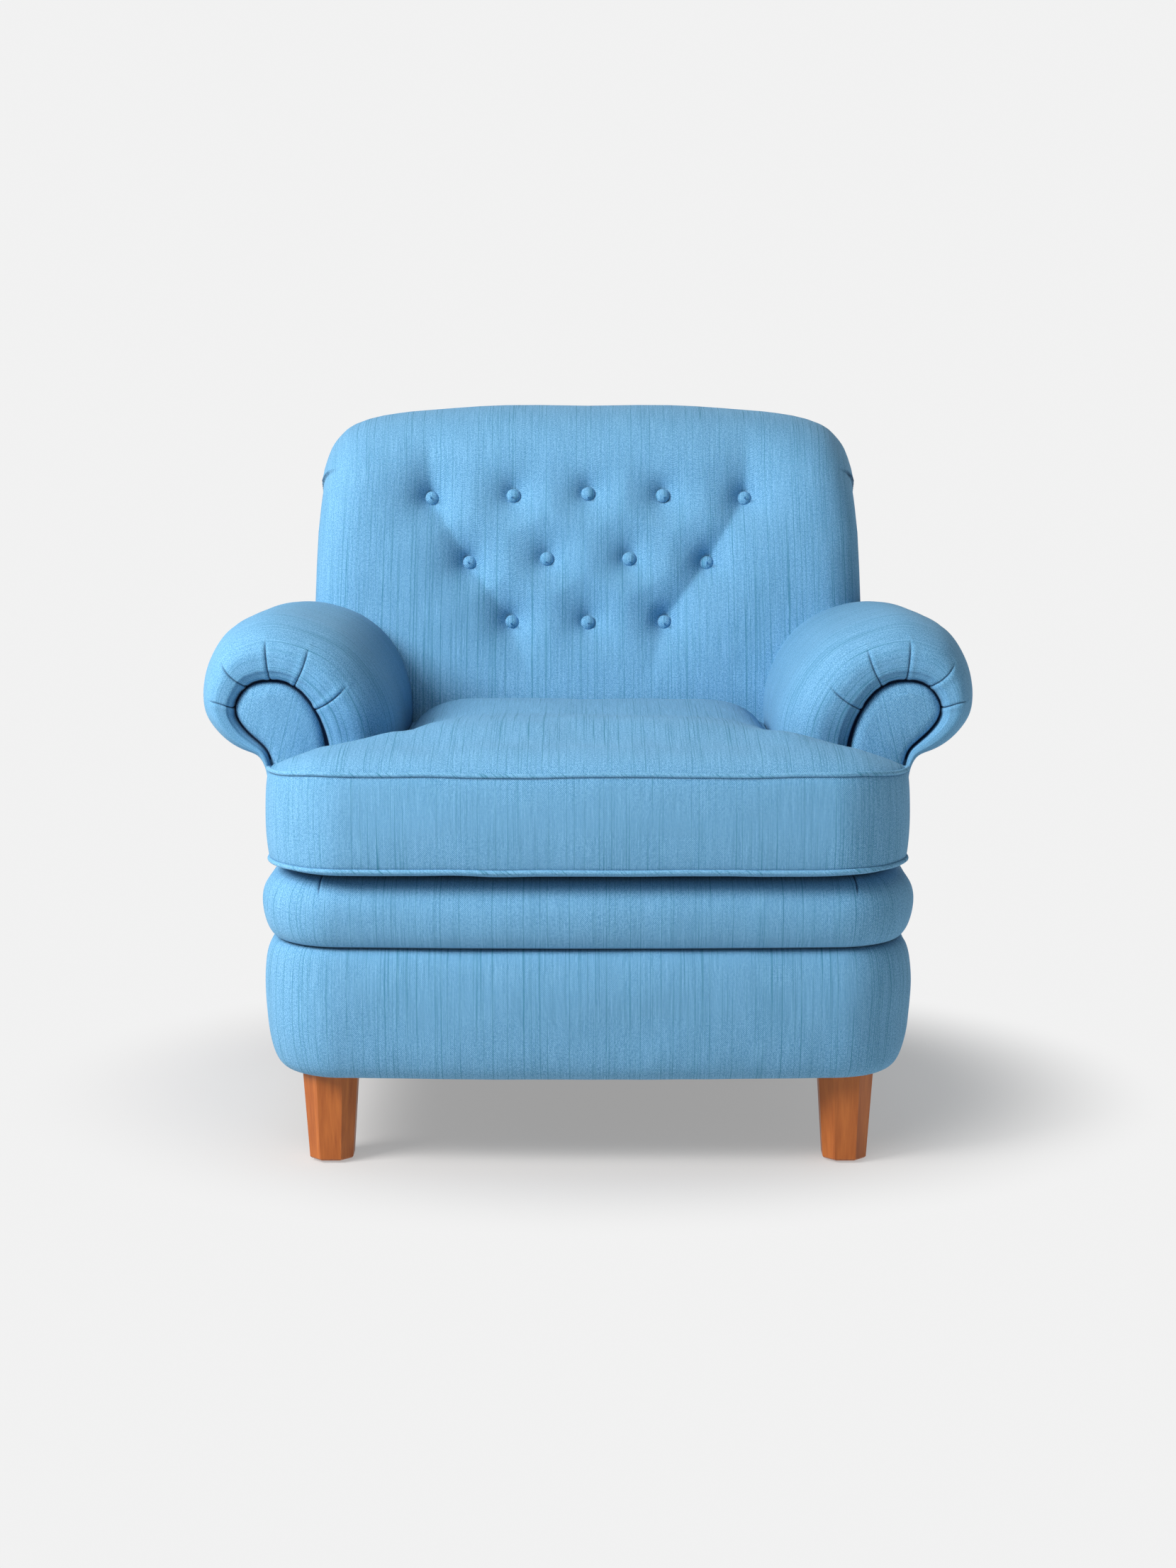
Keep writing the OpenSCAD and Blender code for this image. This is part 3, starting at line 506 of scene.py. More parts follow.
g = Geo()
br = 9.2
prof = [(0, 6.2), (2, 6.1), (4, 5.6), (6, 4.6), (7.6, 3.3), (8.7, 1.8), (9.2, 0.3), (9.0, -1.0), (8.2, -2.0), (6.5, -2.6), (0, -2.8)]
pq, pL = spline(prof)
pr = resample(pq, pL, np.linspace(0, pL[-1], 26))
ang = np.linspace(0, 2 * np.pi, 37)
for bx, bz in BUTTONS:
    y0 = back_y(bx, bz)
    tilt = math.radians(16.7)
    nrm = np.array([0, -math.cos(tilt), math.sin(tilt)]); upv = np.array([0, math.sin(tilt), math.cos(tilt)]); xv = np.array([1.0, 0, 0])
    if abs(bx) > 90 and abs(bx) != 98:
        a = -math.copysign(math.radians(13), bx)
        nrm = np.array([math.sin(a) * math.cos(tilt), -math.cos(a) * math.cos(tilt), math.sin(tilt)]); xv = np.cross(upv, nrm); xv /= np.linalg.norm(xv); upv = np.cross(nrm, xv)
    c = np.array([bx, y0, bz]) + nrm * 3.4
    V = c + pr[:, None, 0, None] * (np.cos(ang)[None, :, None] * xv + np.sin(ang)[None, :, None] * upv) + pr[:, None, 1, None] * nrm
    uvb = np.stack([pr[:, None, 0] * np.cos(ang)[None] + bx, pr[:, None, 0] * np.sin(ang)[None] + bz], -1)
    # painted shade on the underside of each button, where it sits in its dimple
    shb = np.repeat((np.array(pr[:, 1]) < 0.2)[:, None] * 0.8, len(ang), 1)
    g.grid(V, uvb, shb)
buttons = g.mesh("back_buttons_cloth", "chair_body", M_FAB, ["back_buttons"], weld=0.001)

# outside back, a flat stretched panel
zz = np.linspace(0, 1, 120); tt = np.linspace(-1, 1, 120)
T, Zr = np.meshgrid(tt, zz)


def ob_half(z):
    return np.interp(z, [106, 170, 200, 335, 350, 380, 600, 700, 745, 800], [366.5, 371.5, 372.3, 371.5, 362, 359, 359, 357, 354.5, 354])


X = T * 359.0
ztop = 690 + (797 - 690) * (crest_z(X) - 690) / (853.5 - 690)
Z = 106.5 + (ztop - 106.5) * Zr
X = T * ob_half(Z)
edge = np.minimum(np.minimum((1 - np.abs(T)) * 359, Zr * 650), (1 - Zr) * 650)
Y = y_rear(Z) - 1.2 + 1.6 * (1 - np.exp(-edge / 9.0)) + 0.5 * vnoise(X / 90, Z / 90, 11)
# the shade values paint shade along the panel's edges, at its seams
g = Geo(); g.grid(np.stack([X, Y, Z], -1), np.stack([X, Z], -1), 0.7 * np.exp(-(edge / 1.2) ** 2))
outside_back = g.mesh("outside_back_cloth", "chair_body", M_FAB, ["outside_back_cover"])

# ------------------------------------------------------------------ arms

SEC = [(232, 345.4), (232, 400), (229, 430), (226.5, 458), (226.5, 482), (230, 505), (237, 526), (247, 546), (262, 567), (280, 585), (302, 599.5), (324, 608.5), (348, 615.5), (378, 618), (404, 611), (427, 598), (443, 577), (453, 552), (456, 527), (452.5, 505), (443, 489), (426, 472.5), (402, 461), (388.5, 456), (381, 446), (377, 425), (376, 400), (374.5, 345.4)]
REAR = [(232, 345.4), (232, 400), (230, 430), (228, 458), (228, 482), (232, 505), (240, 527), (252, 547), (266, 562), (282, 572.5), (300, 580.5), (320, 585.5), (342, 588), (375, 587), (400, 581), (420, 570), (436, 554), (446, 535), (450, 515), (447, 498), (438, 483), (422, 469), (402, 460), (388.5, 455), (381, 446), (377, 425), (376, 400), (374.5, 345.4)]
FAC = [(306, 345.4), (306, 400), (306, 440), (307, 468), (310.5, 487), (316, 503), (323, 516), (332, 528), (343, 538), (357, 544.5), (372, 546.5), (388, 544.5), (401, 538), (410, 527), (415, 514), (413.5, 503), (407, 491.5), (398, 481.5), (387, 471.5), (379, 463), (374.5, 452), (371.5, 435), (369, 400), (367, 345.4)]
MATCH = [((306, 345.4), (232, 345.4)), ((306, 440), (228, 440)), ((307, 468), (226.5, 474)), ((313, 496), (237, 526)), ((320, 511), (257, 561)), ((331, 527), (286, 589)), ((344, 538.5), (317, 606)), ((358, 545), (347, 616)), ((372, 546.5), (378, 618)), ((387, 545), (406, 610.5)), ((400, 539), (441, 580)), ((409.5, 528), (453, 552)), ((415, 514), (456, 526)), ((412.5, 502), (452, 504)), ((407, 491.5), (443, 489)), ((398, 481.5), (426, 472.5)), ((387, 471.5), (402, 461)), ((379, 463), (388.5, 456)), ((374.5, 452), (382.5, 449)), ((370.5, 425), (377, 425)), ((367, 345.4), (374.5, 345.4))]
PLEATS = [((372, 546.5), 0.70, -0.5), ((344, 538.5), 0.71, 2.2), ((320, 511), 0.64, 2.6), ((400, 539), 0.73, -2.4), ((415, 514), 0.74, 1.6)]


def near_s(qp, Lp, pt):
    return Lp[np.argmin(np.hypot(qp[:, 0] - pt[0], qp[:, 1] - pt[1]))]


def arm_grid():
    qs, Ls = spline(SEC); qf, Lf = spline(FAC); qr, Lr = spline(REAR)
    sf = np.array([near_s(qf, Lf, a) for a, b in MATCH]); ss = np.array([near_s(qs, Ls, b) for a, b in MATCH])
    ps = np.array([near_s(qf, Lf, a) for a, w, c in PLEATS])
    base = np.linspace(0, Lf[-1], 210)
    fine = np.concatenate([p + np.arange(-7, 7.01, 0.5) for p in ps])
    lam = np.unique(np.round(np.r_[base, fine].clip(0, Lf[-1]), 2))
    keep = [0]
    for i in range(1, len(lam)):
        if lam[i] - lam[keep[-1]] > 0.38:
            keep.append(i)
    lam = lam[keep]
    F = resample(qf, Lf, lam)
    so = np.interp(lam, sf, ss)
    # soften the joins between matched stretches
    for _ in range(3):
        so = np.interp(lam, lam, np.convolve(np.pad(so, 4, mode="edge"), np.ones(9) / 9, "valid")) * 0.5 + so * 0.5
    so[0], so[-1] = 0, Ls[-1]
    O = resample(qs, Ls, so)
    cs, cr_ = Ls[::24], Lr[::24]
    R = resample(qr, Lr, np.interp(so, cs, cr_))
    w = np.linalg.norm(O - F, axis=1)
    # height of the front bulge above the start of the rounding
    b = np.clip(8 + 1.28 * w, 20, 104)
    front = -236.0 + 8.0 * (1 - smooth(470, 496, np.minimum(F[:, 1], O[:, 1]))) * (F[:, 0] < 350)
    front = front + 3.0 * smooth(40, 26, w)
    kern = np.hanning(25); kern /= kern.sum()
    b = np.convolve(np.pad(b, 12, mode="edge"), kern, "valid")
    front = np.convolve(np.pad(front, 12, mode="edge"), kern, "valid")
    return qs, Ls, lam, ps, O, F, R, w, b, front, Lf


def arm_piece(side):
    qs, Ls, lam, ps, O, F, R, w, b, front, Lf = arm_grid()
    nl = len(lam)
    y0 = front + b
    rows, A, ST = [], [], []
    # straight run, slightly smaller towards the back
    for k in np.linspace(0, 1, 62)[:-1]:
        y = 300 + (y0 - 300) * k
        T = np.interp(y, [-100, 0, 100, 200, 300], [0, 0.13, 0.32, 0.6, 1.0])[:, None]
        XZ = O * (1 - T) + R * T
        rows.append(np.stack([XZ[:, 0], y, XZ[:, 1]], -1)); A.append(0.0); ST.append(1)
    pk = 0.60
    for a in pk * (1 - np.cos(np.linspace(0, math.pi / 2, 34))):
        d = math.sqrt(max(0, 1 - (1 - a / pk) ** 2.15))
        y = front + b * (1 - d)
        T = np.interp(y, [-100, 0, 100, 200, 300], [0, 0.13, 0.32, 0.6, 1.0])[:, None]
        XZ = (O * (1 - T) + R * T) * (1 - a) + F * a
        rows.append(np.stack([XZ[:, 0], y, XZ[:, 1]], -1)); A.append(a); ST.append(0)
    qc, Lc = spline([(0.60, 0.0), (0.72, 0.5), (0.83, 2.4), (0.91, 6.0), (0.965, 11.5), (0.99, 18.0), (1.0, 26.0), (1.0, 34.0)])
    qc2 = qc * [60, 1]
    Lc2 = np.r_[0, np.cumsum(np.linalg.norm(np.diff(qc2, axis=0), axis=1))]
    for a, g_ in resample(qc, Lc2, np.linspace(0, Lc2[-1], 34))[1:]:
        XZ = O * (1 - a) + F * a
        rows.append(np.stack([XZ[:, 0], front + g_, XZ[:, 1]], -1)); A.append(min(a, 1.0)); ST.append(0)
    P = np.array(rows); a = np.array(A)[:, None]
    # painted shade where the ring turns into the groove round the facing
    S = 0.92 * smooth(-222, -212, P[..., 1]) * (a > 0.93)
    gu = np.gradient(P, axis=1); gv = np.gradient(P, axis=0)
    nn = np.cross(gu, gv); nn /= np.maximum(np.linalg.norm(nn, axis=-1), 1e-9)[..., None]
    if nn[80, nl // 2, 1] > 0:
        nn = -nn
    push = np.zeros(P.shape[:2]); dark = np.zeros(P.shape[:2])
    for (pt, reach, bow), p0 in zip(PLEATS, ps):
        dl = (lam - p0)[None, :]
        f = np.clip((1 - a) / max(reach, .01), 0, 1.2)
        # real distance across the fold grows outwards as the ring fans out
        sc = 1 + (1 - a) * 0.55
        dd = dl * sc + bow * np.sin(np.pi * np.clip(f, 0, 1))
        on = smooth(1 - reach - 0.01, 1 - reach + 0.20, a) * (a > 0.001)
        groove = -1.7 * np.exp(-(np.abs(dd) / 0.75) ** 1.5)
        shoulder = 1.1 * np.exp(-((dd - 3.6) / 3.4) ** 2) + 0.5 * np.exp(-((dd + 3.6) / 3.4) ** 2)
        push += on * (groove + shoulder)
        push += 0.9 * np.exp(-((a - (1 - reach)) / 0.045) ** 2) * np.exp(-(dd / 2.6) ** 2) * (a > 0.001)
        # dark is painted shade down each pleat groove
        dark = np.maximum(dark, on * np.exp(-(np.abs(dd) / 0.62) ** 2) * (0.55 + 0.40 * a))
    order = np.sort(ps)
    for i in range(len(order) - 1):
        c, hwd = (order[i] + order[i + 1]) / 2, (order[i + 1] - order[i]) / 2
        if hwd > 40:
            continue
        push += 1.5 * np.clip(1 - ((lam[None] - c) / hwd) ** 2, 0, 1) * smooth(0.15, 0.55, a) * (1 - smooth(0.9, 1.0, a))
    P = P + nn * push[..., None]
    S = np.maximum(S, dark)
    lu = np.broadcast_to(lam[None], P.shape[:2]); yy = P[..., 1]
    P = P + nn * (0.7 * vnoise(lu / 60 + 4, yy / 80 + 7, 21) + 0.25 * vnoise(lu / 22, yy / 26, 22))[..., None] * (1 - smooth(0.9, 1.0, a))[..., None]
    P[..., 0] = np.maximum(P[..., 0], 226.0)
    P[..., 2] = np.maximum(P[..., 2], 345.2)
    vlen = np.r_[0, np.cumsum(np.linalg.norm(np.diff(P[:, nl // 2], axis=0), axis=-1))]
    sec = np.r_[0, np.cumsum(np.linalg.norm(np.diff(O, axis=0), axis=-1))]
    secf = np.r_[0, np.cumsum(np.linalg.norm(np.diff(F, axis=0), axis=-1))] * 1.5
    av = np.clip(a, 0, 1) ** 1.5
    uv = np.stack([np.broadcast_to(vlen[:, None], P.shape[:2]), sec[None] * (1 - av * 0.25) + secf[None] * av * 0.25], -1)
    rear = []
    for (aa, y) in ((1.0, 300.0), (0.5, 300.0), (0.14, 300.0), (0.04, 298.6), (0.008, 295.5)):
        XZ = R * (1 - aa) + F * aa
        rear.append(np.stack([XZ[:, 0], np.full(nl, y), XZ[:, 1]], -1))
    rear = np.array(rear)
    P[0, :, 1] = 291.0
    P = np.concatenate([rear, P], 0)
    uv = np.concatenate([np.stack([np.broadcast_to(np.array([-60., -35, -14, -7, -3])[:, None], rear.shape[:2]), np.broadcast_to(sec[None], rear.shape[:2])], -1), uv], 0)
    S = np.concatenate([np.zeros(rear.shape[:2]), S], 0)
    cap = np.stack([F[:, 0], np.full(nl, 300.0), F[:, 1]], -1)
    sg = -1 if side == "left" else 1
    P[..., 0] *= sg; cap[..., 0] *= sg
    g = Geo(); g.grid(P, uv, S)
    c = np.array([[sg * 350, 300.0, 478.0]])
    n = len(cap)
    g.add(np.vstack([cap, c]), [[i, (i + 1) % n, n] for i in range(n)], np.vstack([cap, c])[:, [0, 2]])
    return g.mesh("arm_cloth_" + side, "chair_body", M_FAB, ["arm_cover_" + side])


def facing_piece(side):
    qf, Lf = spline(FAC)
    lam = np.linspace(0, Lf[-1], 260)
    F = resample(qf, Lf, lam)
    t = np.gradient(F, axis=0); t /= np.linalg.norm(t, axis=1)[:, None]
    nrm = np.stack([t[:, 1], -t[:, 0]], -1)  # to the right of travel: inwards for this outline
    c = np.array([352.0, 480.0])
    if ((F + nrm * 2 - c) ** 2).sum() > ((F - nrm * 2 - c) ** 2).sum():
        nrm = -nrm
    sg = -1 if side == "left" else 1
    g = Geo()
    # edge roll: out of the groove, round over, then flat
    steps = [(-5.0, -215.6), (-1.0, -216.0), (1.8, -216.4), (2.0, -217.4), (2.3, -219.0), (3.4, -222.3), (5.2, -225.2), (7.6, -227.3), (10.6, -228.7), (14.5, -229.4)]
    rows = []
    for ins, y in steps:
        XZ = F + nrm * ins
        rows.append(np.stack([XZ[:, 0], np.full(len(lam), y), XZ[:, 1]], -1))
    P = np.array(rows)
    low = P[..., 2].min()
    P[..., 2] = np.maximum(P[..., 2], 346.0)
    ang = math.radians(14)
    def fuv(P):
        return np.stack([P[..., 0] * math.cos(ang) + P[..., 2] * math.sin(ang), -P[..., 0] * math.sin(ang) + P[..., 2] * math.cos(ang)], -1)
    # painted shade in the groove and down the rounded edge, fading out before the flat face
    shade = np.array([0.97, 0.97, 0.96, 0.85, 0.55, 0.12, 0, 0, 0, 0])[:, None] * np.ones(len(lam))
    uvs = fuv(P)
    P[..., 0] *= sg
    g.grid(P, uvs, shade)
    # flat face: fan of strips between the two long sides of the outline
    ring = F + nrm * 14.5
    n = len(ring); half = n // 2
    k = np.linspace(0, 1, 14)
    A = ring[: n // 2]; Bq = ring[::-1][: n // 2]
    strip = A[:, None] * (1 - k[None, :, None]) + Bq[:, None] * k[None, :, None]
    yy = -229.4 - 1.6 * np.sin(np.pi * k)[None, :] * np.ones((len(A), 1))
    Q = np.stack([strip[..., 0], yy, np.maximum(strip[..., 1], 346.0)], -1)
    uvs = fuv(Q); Q[..., 0] *= sg
    g.grid(Q, uvs)
    return g.mesh("arm_facing_cloth_" + side, "chair_body", M_FAB, ["arm_facing_" + side])


def outside_arm_piece(side):
    sg = -1 if side == "left" else 1
    z = np.linspace(345.4, 452, 40); y = np.r_[-219.5, np.linspace(-218, 299.5, 130)]
    Y, Z = np.meshgrid(y, z)
    e = np.maximum(np.minimum(np.minimum((Y + 218), (299.5 - Y)), np.minimum(Z - 345.4, 452 - Z)), 0)
    X = 373.4 + np.interp(Z, [345, 400, 440, 452], [0.6, 2.2, 3.2, 6.0]) + 1.6 * (1 - np.exp(-e / 7)) + 0.5 * vnoise(Y / 60, Z / 40, 31)
    X[:, 0] -= 8
    # the lower edge is turned under and meets the roll
    hx = np.array([353.0, 364.0])[:, None] * np.ones(len(y)); hz = np.array([339.2, 342.4])[:, None] * np.ones(len(y))
    X = np.vstack([hx, X]); Z = np.vstack([hz, Z]); Y = np.vstack([Y[:2], Y])
    # painted shade on the turned-under strip and along the panel's edges
    sh = np.vstack([np.full((2, len(y)), 0.85), 0.6 * np.exp(-(e / 1.0) ** 2)])
    g = Geo(); g.grid(np.stack([sg * X, Y, Z], -1), np.stack([Y, Z], -1), sh)
    return g.mesh("outside_arm_cloth_" + side, "chair_body", M_FAB, ["outside_arm_" + side])


for side in ("left", "right"):
    arm_piece(side); facing_piece(side); outside_arm_piece(side)

# ------------------------------------------------------------------ base border and edge roll


def plan_path(hw, yf, r, yr, step=4.0):
    """Half plan from the front middle round the corner and back, as a dense line with arc length."""
    xs = np.linspace(0, hw - r, 60)
    front = np.stack([xs, yf + 7 * (xs / (hw - r)) ** 2], -1)
    a = np.linspace(0, math.pi / 2, 60)[1:]
    y0 = front[-1, 1]
    cor = np.stack([hw - r + r * np.sin(a), y0 + r - r * np.cos(a)], -1)
    ss = np.linspace(0, 1, 80)[1:]
    sidep = np.stack([np.full(79, hw), y0 + r + (yr - y0 - r) * ss], -1)
    p = np.vstack([front, cor, sidep])
    p = np.vstack([p[:0:-1] * [-1, 1], p])
    L = np.r_[0, np.cumsum(np.linalg.norm(np.diff(p, axis=0), axis=1))]
    return p, L


def border(profile, mx, yf, name, replaces, seed, step=4.0, darts=(), shade_fn=None, wob=1.0):
    p, L = plan_path(mx, yf, 95, 360)
    s = np.linspace(0, L[-1], int(L[-1] / step))
    extra = [d + np.arange(-8, 8.01, 0.6) for d in darts]
    if extra:
        s = np.unique(np.round(np.concatenate([s, *extra]), 2))
        keep = [0]
        for i in range(1, len(s)):
            if s[i] - s[keep[-1]] > 0.45:
                keep.append(i)
        s = s[keep]
    base = resample(p, L, s)
    t = np.gradient(base, s, axis=0); t /= np.linalg.norm(t, axis=1)[:, None]
    n = np.stack([t[:, 1], -t[:, 0]], -1)
    mid = len(n) // 2
    if n[mid, 1] > 0:
        n = -n
    q, Lq = spline(profile)
    v = np.linspace(0, Lq[-1], int(Lq[-1] / 2.6))
    pr = resample(q, Lq, v)
    off = (pr[:, 1] - mx)[:, None]
    z = pr[:, 0][:, None] * np.ones(len(s))
    nz = wob * (1.2 * vnoise(s[None] / 95 + seed, z / 55, seed) + 0.6 * vnoise(s[None] / 34, z / 40 + 3, seed + 1))
    nz = nz * smooth(0, 14, v)[:, None] * smooth(0, 14, Lq[-1] - v)[:, None]
    XY = base[None] + n[None] * (off + nz)[..., None]
    # sides run back to the leaning rear
    for k in (0, -1):
        pass
    ys = XY[..., 1]
    y1 = y_rear(z) - 2.0
    ys = np.where(ys > 0, ys * (y1 / 360.0), ys)
    P = np.stack([XY[..., 0], ys, z], -1)
    S = np.zeros(P.shape[:2])
    U = (s - s[-1] / 2)[None] * np.ones((len(v), 1))
    Vv = v[:, None] * np.ones(len(s))
    return P, S, np.stack([U, Vv], -1), s, v, pr, n


BASE_PROF = [(105.6, 322), (105.2, 335), (106.2, 345.5), (109.6, 353.5), (116, 360), (127, 365), (144, 368.8), (166, 371.2), (190, 372.8), (212, 373), (232, 371.4), (248, 368), (258, 362), (262.2, 353)]
P, S, uv, s, v, pr, n = border(BASE_PROF, 373, -402, "base", [], 41)
# painted shade in the seam line at the top of the border, z 262
S += 0.55 * np.exp(-((P[..., 2] - 262) / 1.5) ** 2)
g = Geo(); g.grid(P, uv, S)
base_cloth = g.mesh("base_border_cloth", "chair_body", M_FAB, ["base_border_cover"])

ROLL_PROF = [(261.2, 353), (264, 360.5), (271, 367), (282, 371.6), (296, 374), (310, 373.6), (322, 370), (332, 363), (339, 352.5), (343, 339), (344.6, 322), (345, 298)]
p0, L0 = plan_path(374, -408, 95, 360)
mid0 = L0[-1] / 2
dart_s = []
for sg in (-1, 1):
    d = np.hypot(p0[:, 0] - sg * 303, p0[:, 1] + 392)
    dart_s.append(L0[np.argmin(d)])
P, S, uv, s, v, pr, n = border(ROLL_PROF, 374, -408, "roll", [], 51, darts=dart_s)
zc = P[..., 2]
vv = v[:, None] * np.ones(len(s))
vz = np.interp(345.0 - 0.5, pr[:, 0], v)
for k, d0 in enumerate(dart_s):
    sg = -1 if k == 0 else 1
    v1, v2 = np.interp(325, pr[:, 0], v), v[-1]
    along = (vv - v1) / 28.0
    dd = (s[None] - d0) + sg * (-1) * along * 5.0
    on = smooth(-0.15, 0.35, along)
    groove = 2.6 * np.exp(-(np.abs(dd) / 1.3) ** 1.6) * on
    hump = 1.0 * np.exp(-((dd - 4) / 4) ** 2) * on
    nrm3 = np.stack([np.broadcast_to(n[:, 0], dd.shape), np.broadcast_to(n[:, 1], dd.shape), np.full(dd.shape, 0.9)], -1)
    nrm3 /= np.linalg.norm(nrm3, axis=-1)[..., None]
    P = P + nrm3 * (hump - groove)[..., None]
    # painted shade down each dart groove
    S = np.maximum(S, 0.85 * np.exp(-(np.abs(dd) / 0.9) ** 2) * on)
# painted shade in the seam line at the foot of the roll, and in the crevice under the cushion on the roll's top
S = np.maximum(S, 0.7 * np.exp(-((P[..., 2] - 261.4) / 1.6) ** 2))
S = np.maximum(S, 0.9 * smooth(341.0, 344.2, P[..., 2]) * (P[..., 1] < 0))
g = Geo(); g.grid(P, uv, S)
roll_cloth = g.mesh("edge_roll_cloth", "chair_body", M_FAB, ["edge_roll_cover"])

# ------------------------------------------------------------------ seat cushion


def t_outline(inset=0.0, step=3.2):
    """Plan of the cushion's welt: bowed front, round front corners, ears, body between the arms."""
    hw, yf, r = 364.0, -417.0, 96.0
    xs = np.linspace(0, hw - r, 40)
    pts = [np.stack([xs, yf + 6 * (xs / (hw - r)) ** 2], -1)]
    a = np.linspace(0, math.pi / 2, 40)[1:]
    y0 = pts[0][-1, 1]
    pts.append(np.stack([hw - r + r * np.sin(a), y0 + r - r * np.cos(a)], -1))

    def fillet(c, rad, a0, a1, k=9):
        t = np.radians(np.linspace(a0, a1, k))
        return np.stack([c[0] + rad * np.cos(t), c[1] + rad * np.sin(t)], -1)

    pts.append(np.array([[hw, -300.0], [hw, -262.0]]))
    pts.append(fillet((hw - 16, -253.5), 16, 0, 90))          # rear corner of the ear
    pts.append(np.array([[320.0, -237.5], [260.0, -237.5]]))
    pts.append(fillet((223.0 + 9, -228.5), 9, 270, 180))      # inner corner
    pts.append(np.array([[223.0, -180.0], [223.0, -60.0], [223.0, 60.0]]))
    pts.append(fillet((223.0 - 16, 84.5), 16, 0, 90))
    pts.append(np.array([[150.0, 100.5], [60.0, 100.5], [0.0, 100.5]]))
    h = np.vstack(pts)
    full = np.vstack([h, (h[::-1] * [-1, 1])[1:-1]])
    d = np.linalg.norm(np.diff(np.vstack([full, full[:1]]), axis=0), axis=1)
    L = np.r_[0, np.cumsum(d)]
    k = int(L[-1] / step)
    s = np.linspace(0, L[-1], k, endpoint=False)
    q = np.vstack([full, full[:1]])
    out = np.stack([np.interp(s, L, q[:, i]) for i in range(2)], -1)
    # soften the polygon
    for _ in range(3):
        out = (np.roll(out, 1, 0) + 2 * out + np.roll(out, -1, 0)) / 4
    return out, s


def out_normals(p):
    t = np.roll(p, -1, 0) - np.roll(p, 1, 0)
    t /= np.linalg.norm(t, axis=1)[:, None]
    n = np.stack([t[:, 1], -t[:, 0]], -1)
    c = p + n * 2
    area = 0.5 * np.sum(p[:, 0] * np.roll(p[:, 1], -1) - np.roll(p[:, 0], -1) * p[:, 1])
    return n if area > 0 else -n


OUT, OS = t_outline()
ON = out_normals(OUT)
PER = np.linalg.norm(np.diff(np.vstack([OUT, OUT[:1]]), axis=0), axis=1).sum()


def welt_top(x, y):
    """Height of the upper welt round the cushion: level in front, a little lower at the back."""
    rise = np.interp(np.abs(x), [200, 226, 240, 273, 304, 322, 350, 364], [13, 14, 11, 2.5, -4.5, -8, -10.5, -10.5])
    return 463.5 - 11.0 * smooth(-200, 60, y) - 4.0 * smooth(300, 362, np.abs(x)) + rise * smooth(-345, -248, y) * (1 - smooth(-232, -120, y)) + 1.0 * vnoise(x / 60 + 2, y / 60, 61)


def welt_low(x, y):
    return 354.5 + 0.9 * vnoise(x / 50, y / 50 + 8, 62)


def interior(spacing=5.0, margin=2.6):
    xs = np.arange(-360, 360.1, spacing); ys = np.arange(-416, 101, spacing)
    X, Y = np.meshgrid(xs, ys)
    X = X + (np.arange(len(ys)) % 2)[:, None] * spacing / 2
    pts = np.stack([X.ravel(), Y.ravel()], -1)
    # distance to the outline and inside test
    A = OUT; B = np.roll(OUT, -1, 0); E = B - A
    d = np.full(len(pts), 1e9); inside = np.zeros(len(pts), bool)
    for i in range(len(A)):
        t = np.clip(((pts - A[i]) @ E[i]) / (E[i] @ E[i]), 0, 1)
        dd = np.linalg.norm(pts - A[i] - t[:, None] * E[i], axis=1)
        d = np.minimum(d, dd)
        c = (A[i, 1] > pts[:, 1]) != (B[i, 1] > pts[:, 1])
        xin = np.where(c, A[i, 0] + (pts[:, 1] - A[i, 1]) * E[i, 0] / (E[i, 1] if abs(E[i, 1]) > 1e-12 else 1e-12), 0)
        inside ^= c & (pts[:, 0] < xin)
    keep = inside & (d > margin)
    return pts[keep], d[keep]


def panel(top=True):
    """One face of the cushion as a crowned sheet over the T-shaped plan."""
    offs = [0.0, 1.1, 2.6, 4.6, 7.2]
    rings = [OUT - ON * o for o in offs[1:]]
    ipts, idist = interior(5.0, 9.6)
    allp = np.vstack([OUT, *rings, ipts])
    dist = np.r_[np.zeros(len(OUT)), *[np.full(len(OUT), o) for o in offs[1:]], idist]
    n = len(OUT)
    edges = [(i, (i + 1) % n) for i in range(n)]
    res = geometry.delaunay_2d_cdt([Vector(q) for q in allp], edges, [], 1, 1e-6)
    vv = np.array([list(q) for q in res[0]]); orig = [o[0] if o else -1 for o in res[3]]
    dd = np.array([dist[o] if o >= 0 else 0.0 for o in orig])
    x, y = vv[:, 0], vv[:, 1]
    if top:
        crown = 42.0 - 18.0 * (1 - smooth(-230, 20, y)) - 6.0 * smooth(230, 330, np.abs(x))
        z = welt_top(x, y) - 1.2 + crown * (1 - np.exp(-dd / 30.0)) + 1.6 * (1 - np.exp(-dd / 3.0))
        z += 3.0 * np.exp(-((y + 150) / 190) ** 2) * (1 - (x / 380) ** 2) * (1 - np.exp(-dd / 60.0))
        z += (1.3 * vnoise(x / 75 + 5, y / 75 + 2, 71) + 0.5 * vnoise(x / 26, y / 30, 72)) * (1 - np.exp(-dd / 20))
    else:
        z = welt_low(x, y) + 0.8 - 10.4 * (1 - np.exp(-dd / 9.0))
        z = np.maximum(z, 345.2)
    # painted shade in a thin band along the welt seam; on the bottom panel also painted shade over the underside away
    # from the edge
    sh = np.exp(-(dd / 1.5) ** 2) * 0.42
    if not top:
        sh = np.maximum(sh, 0.95 * smooth(16, 30, dd))
    return np.stack([x, y, z], -1), res[2], vv, sh


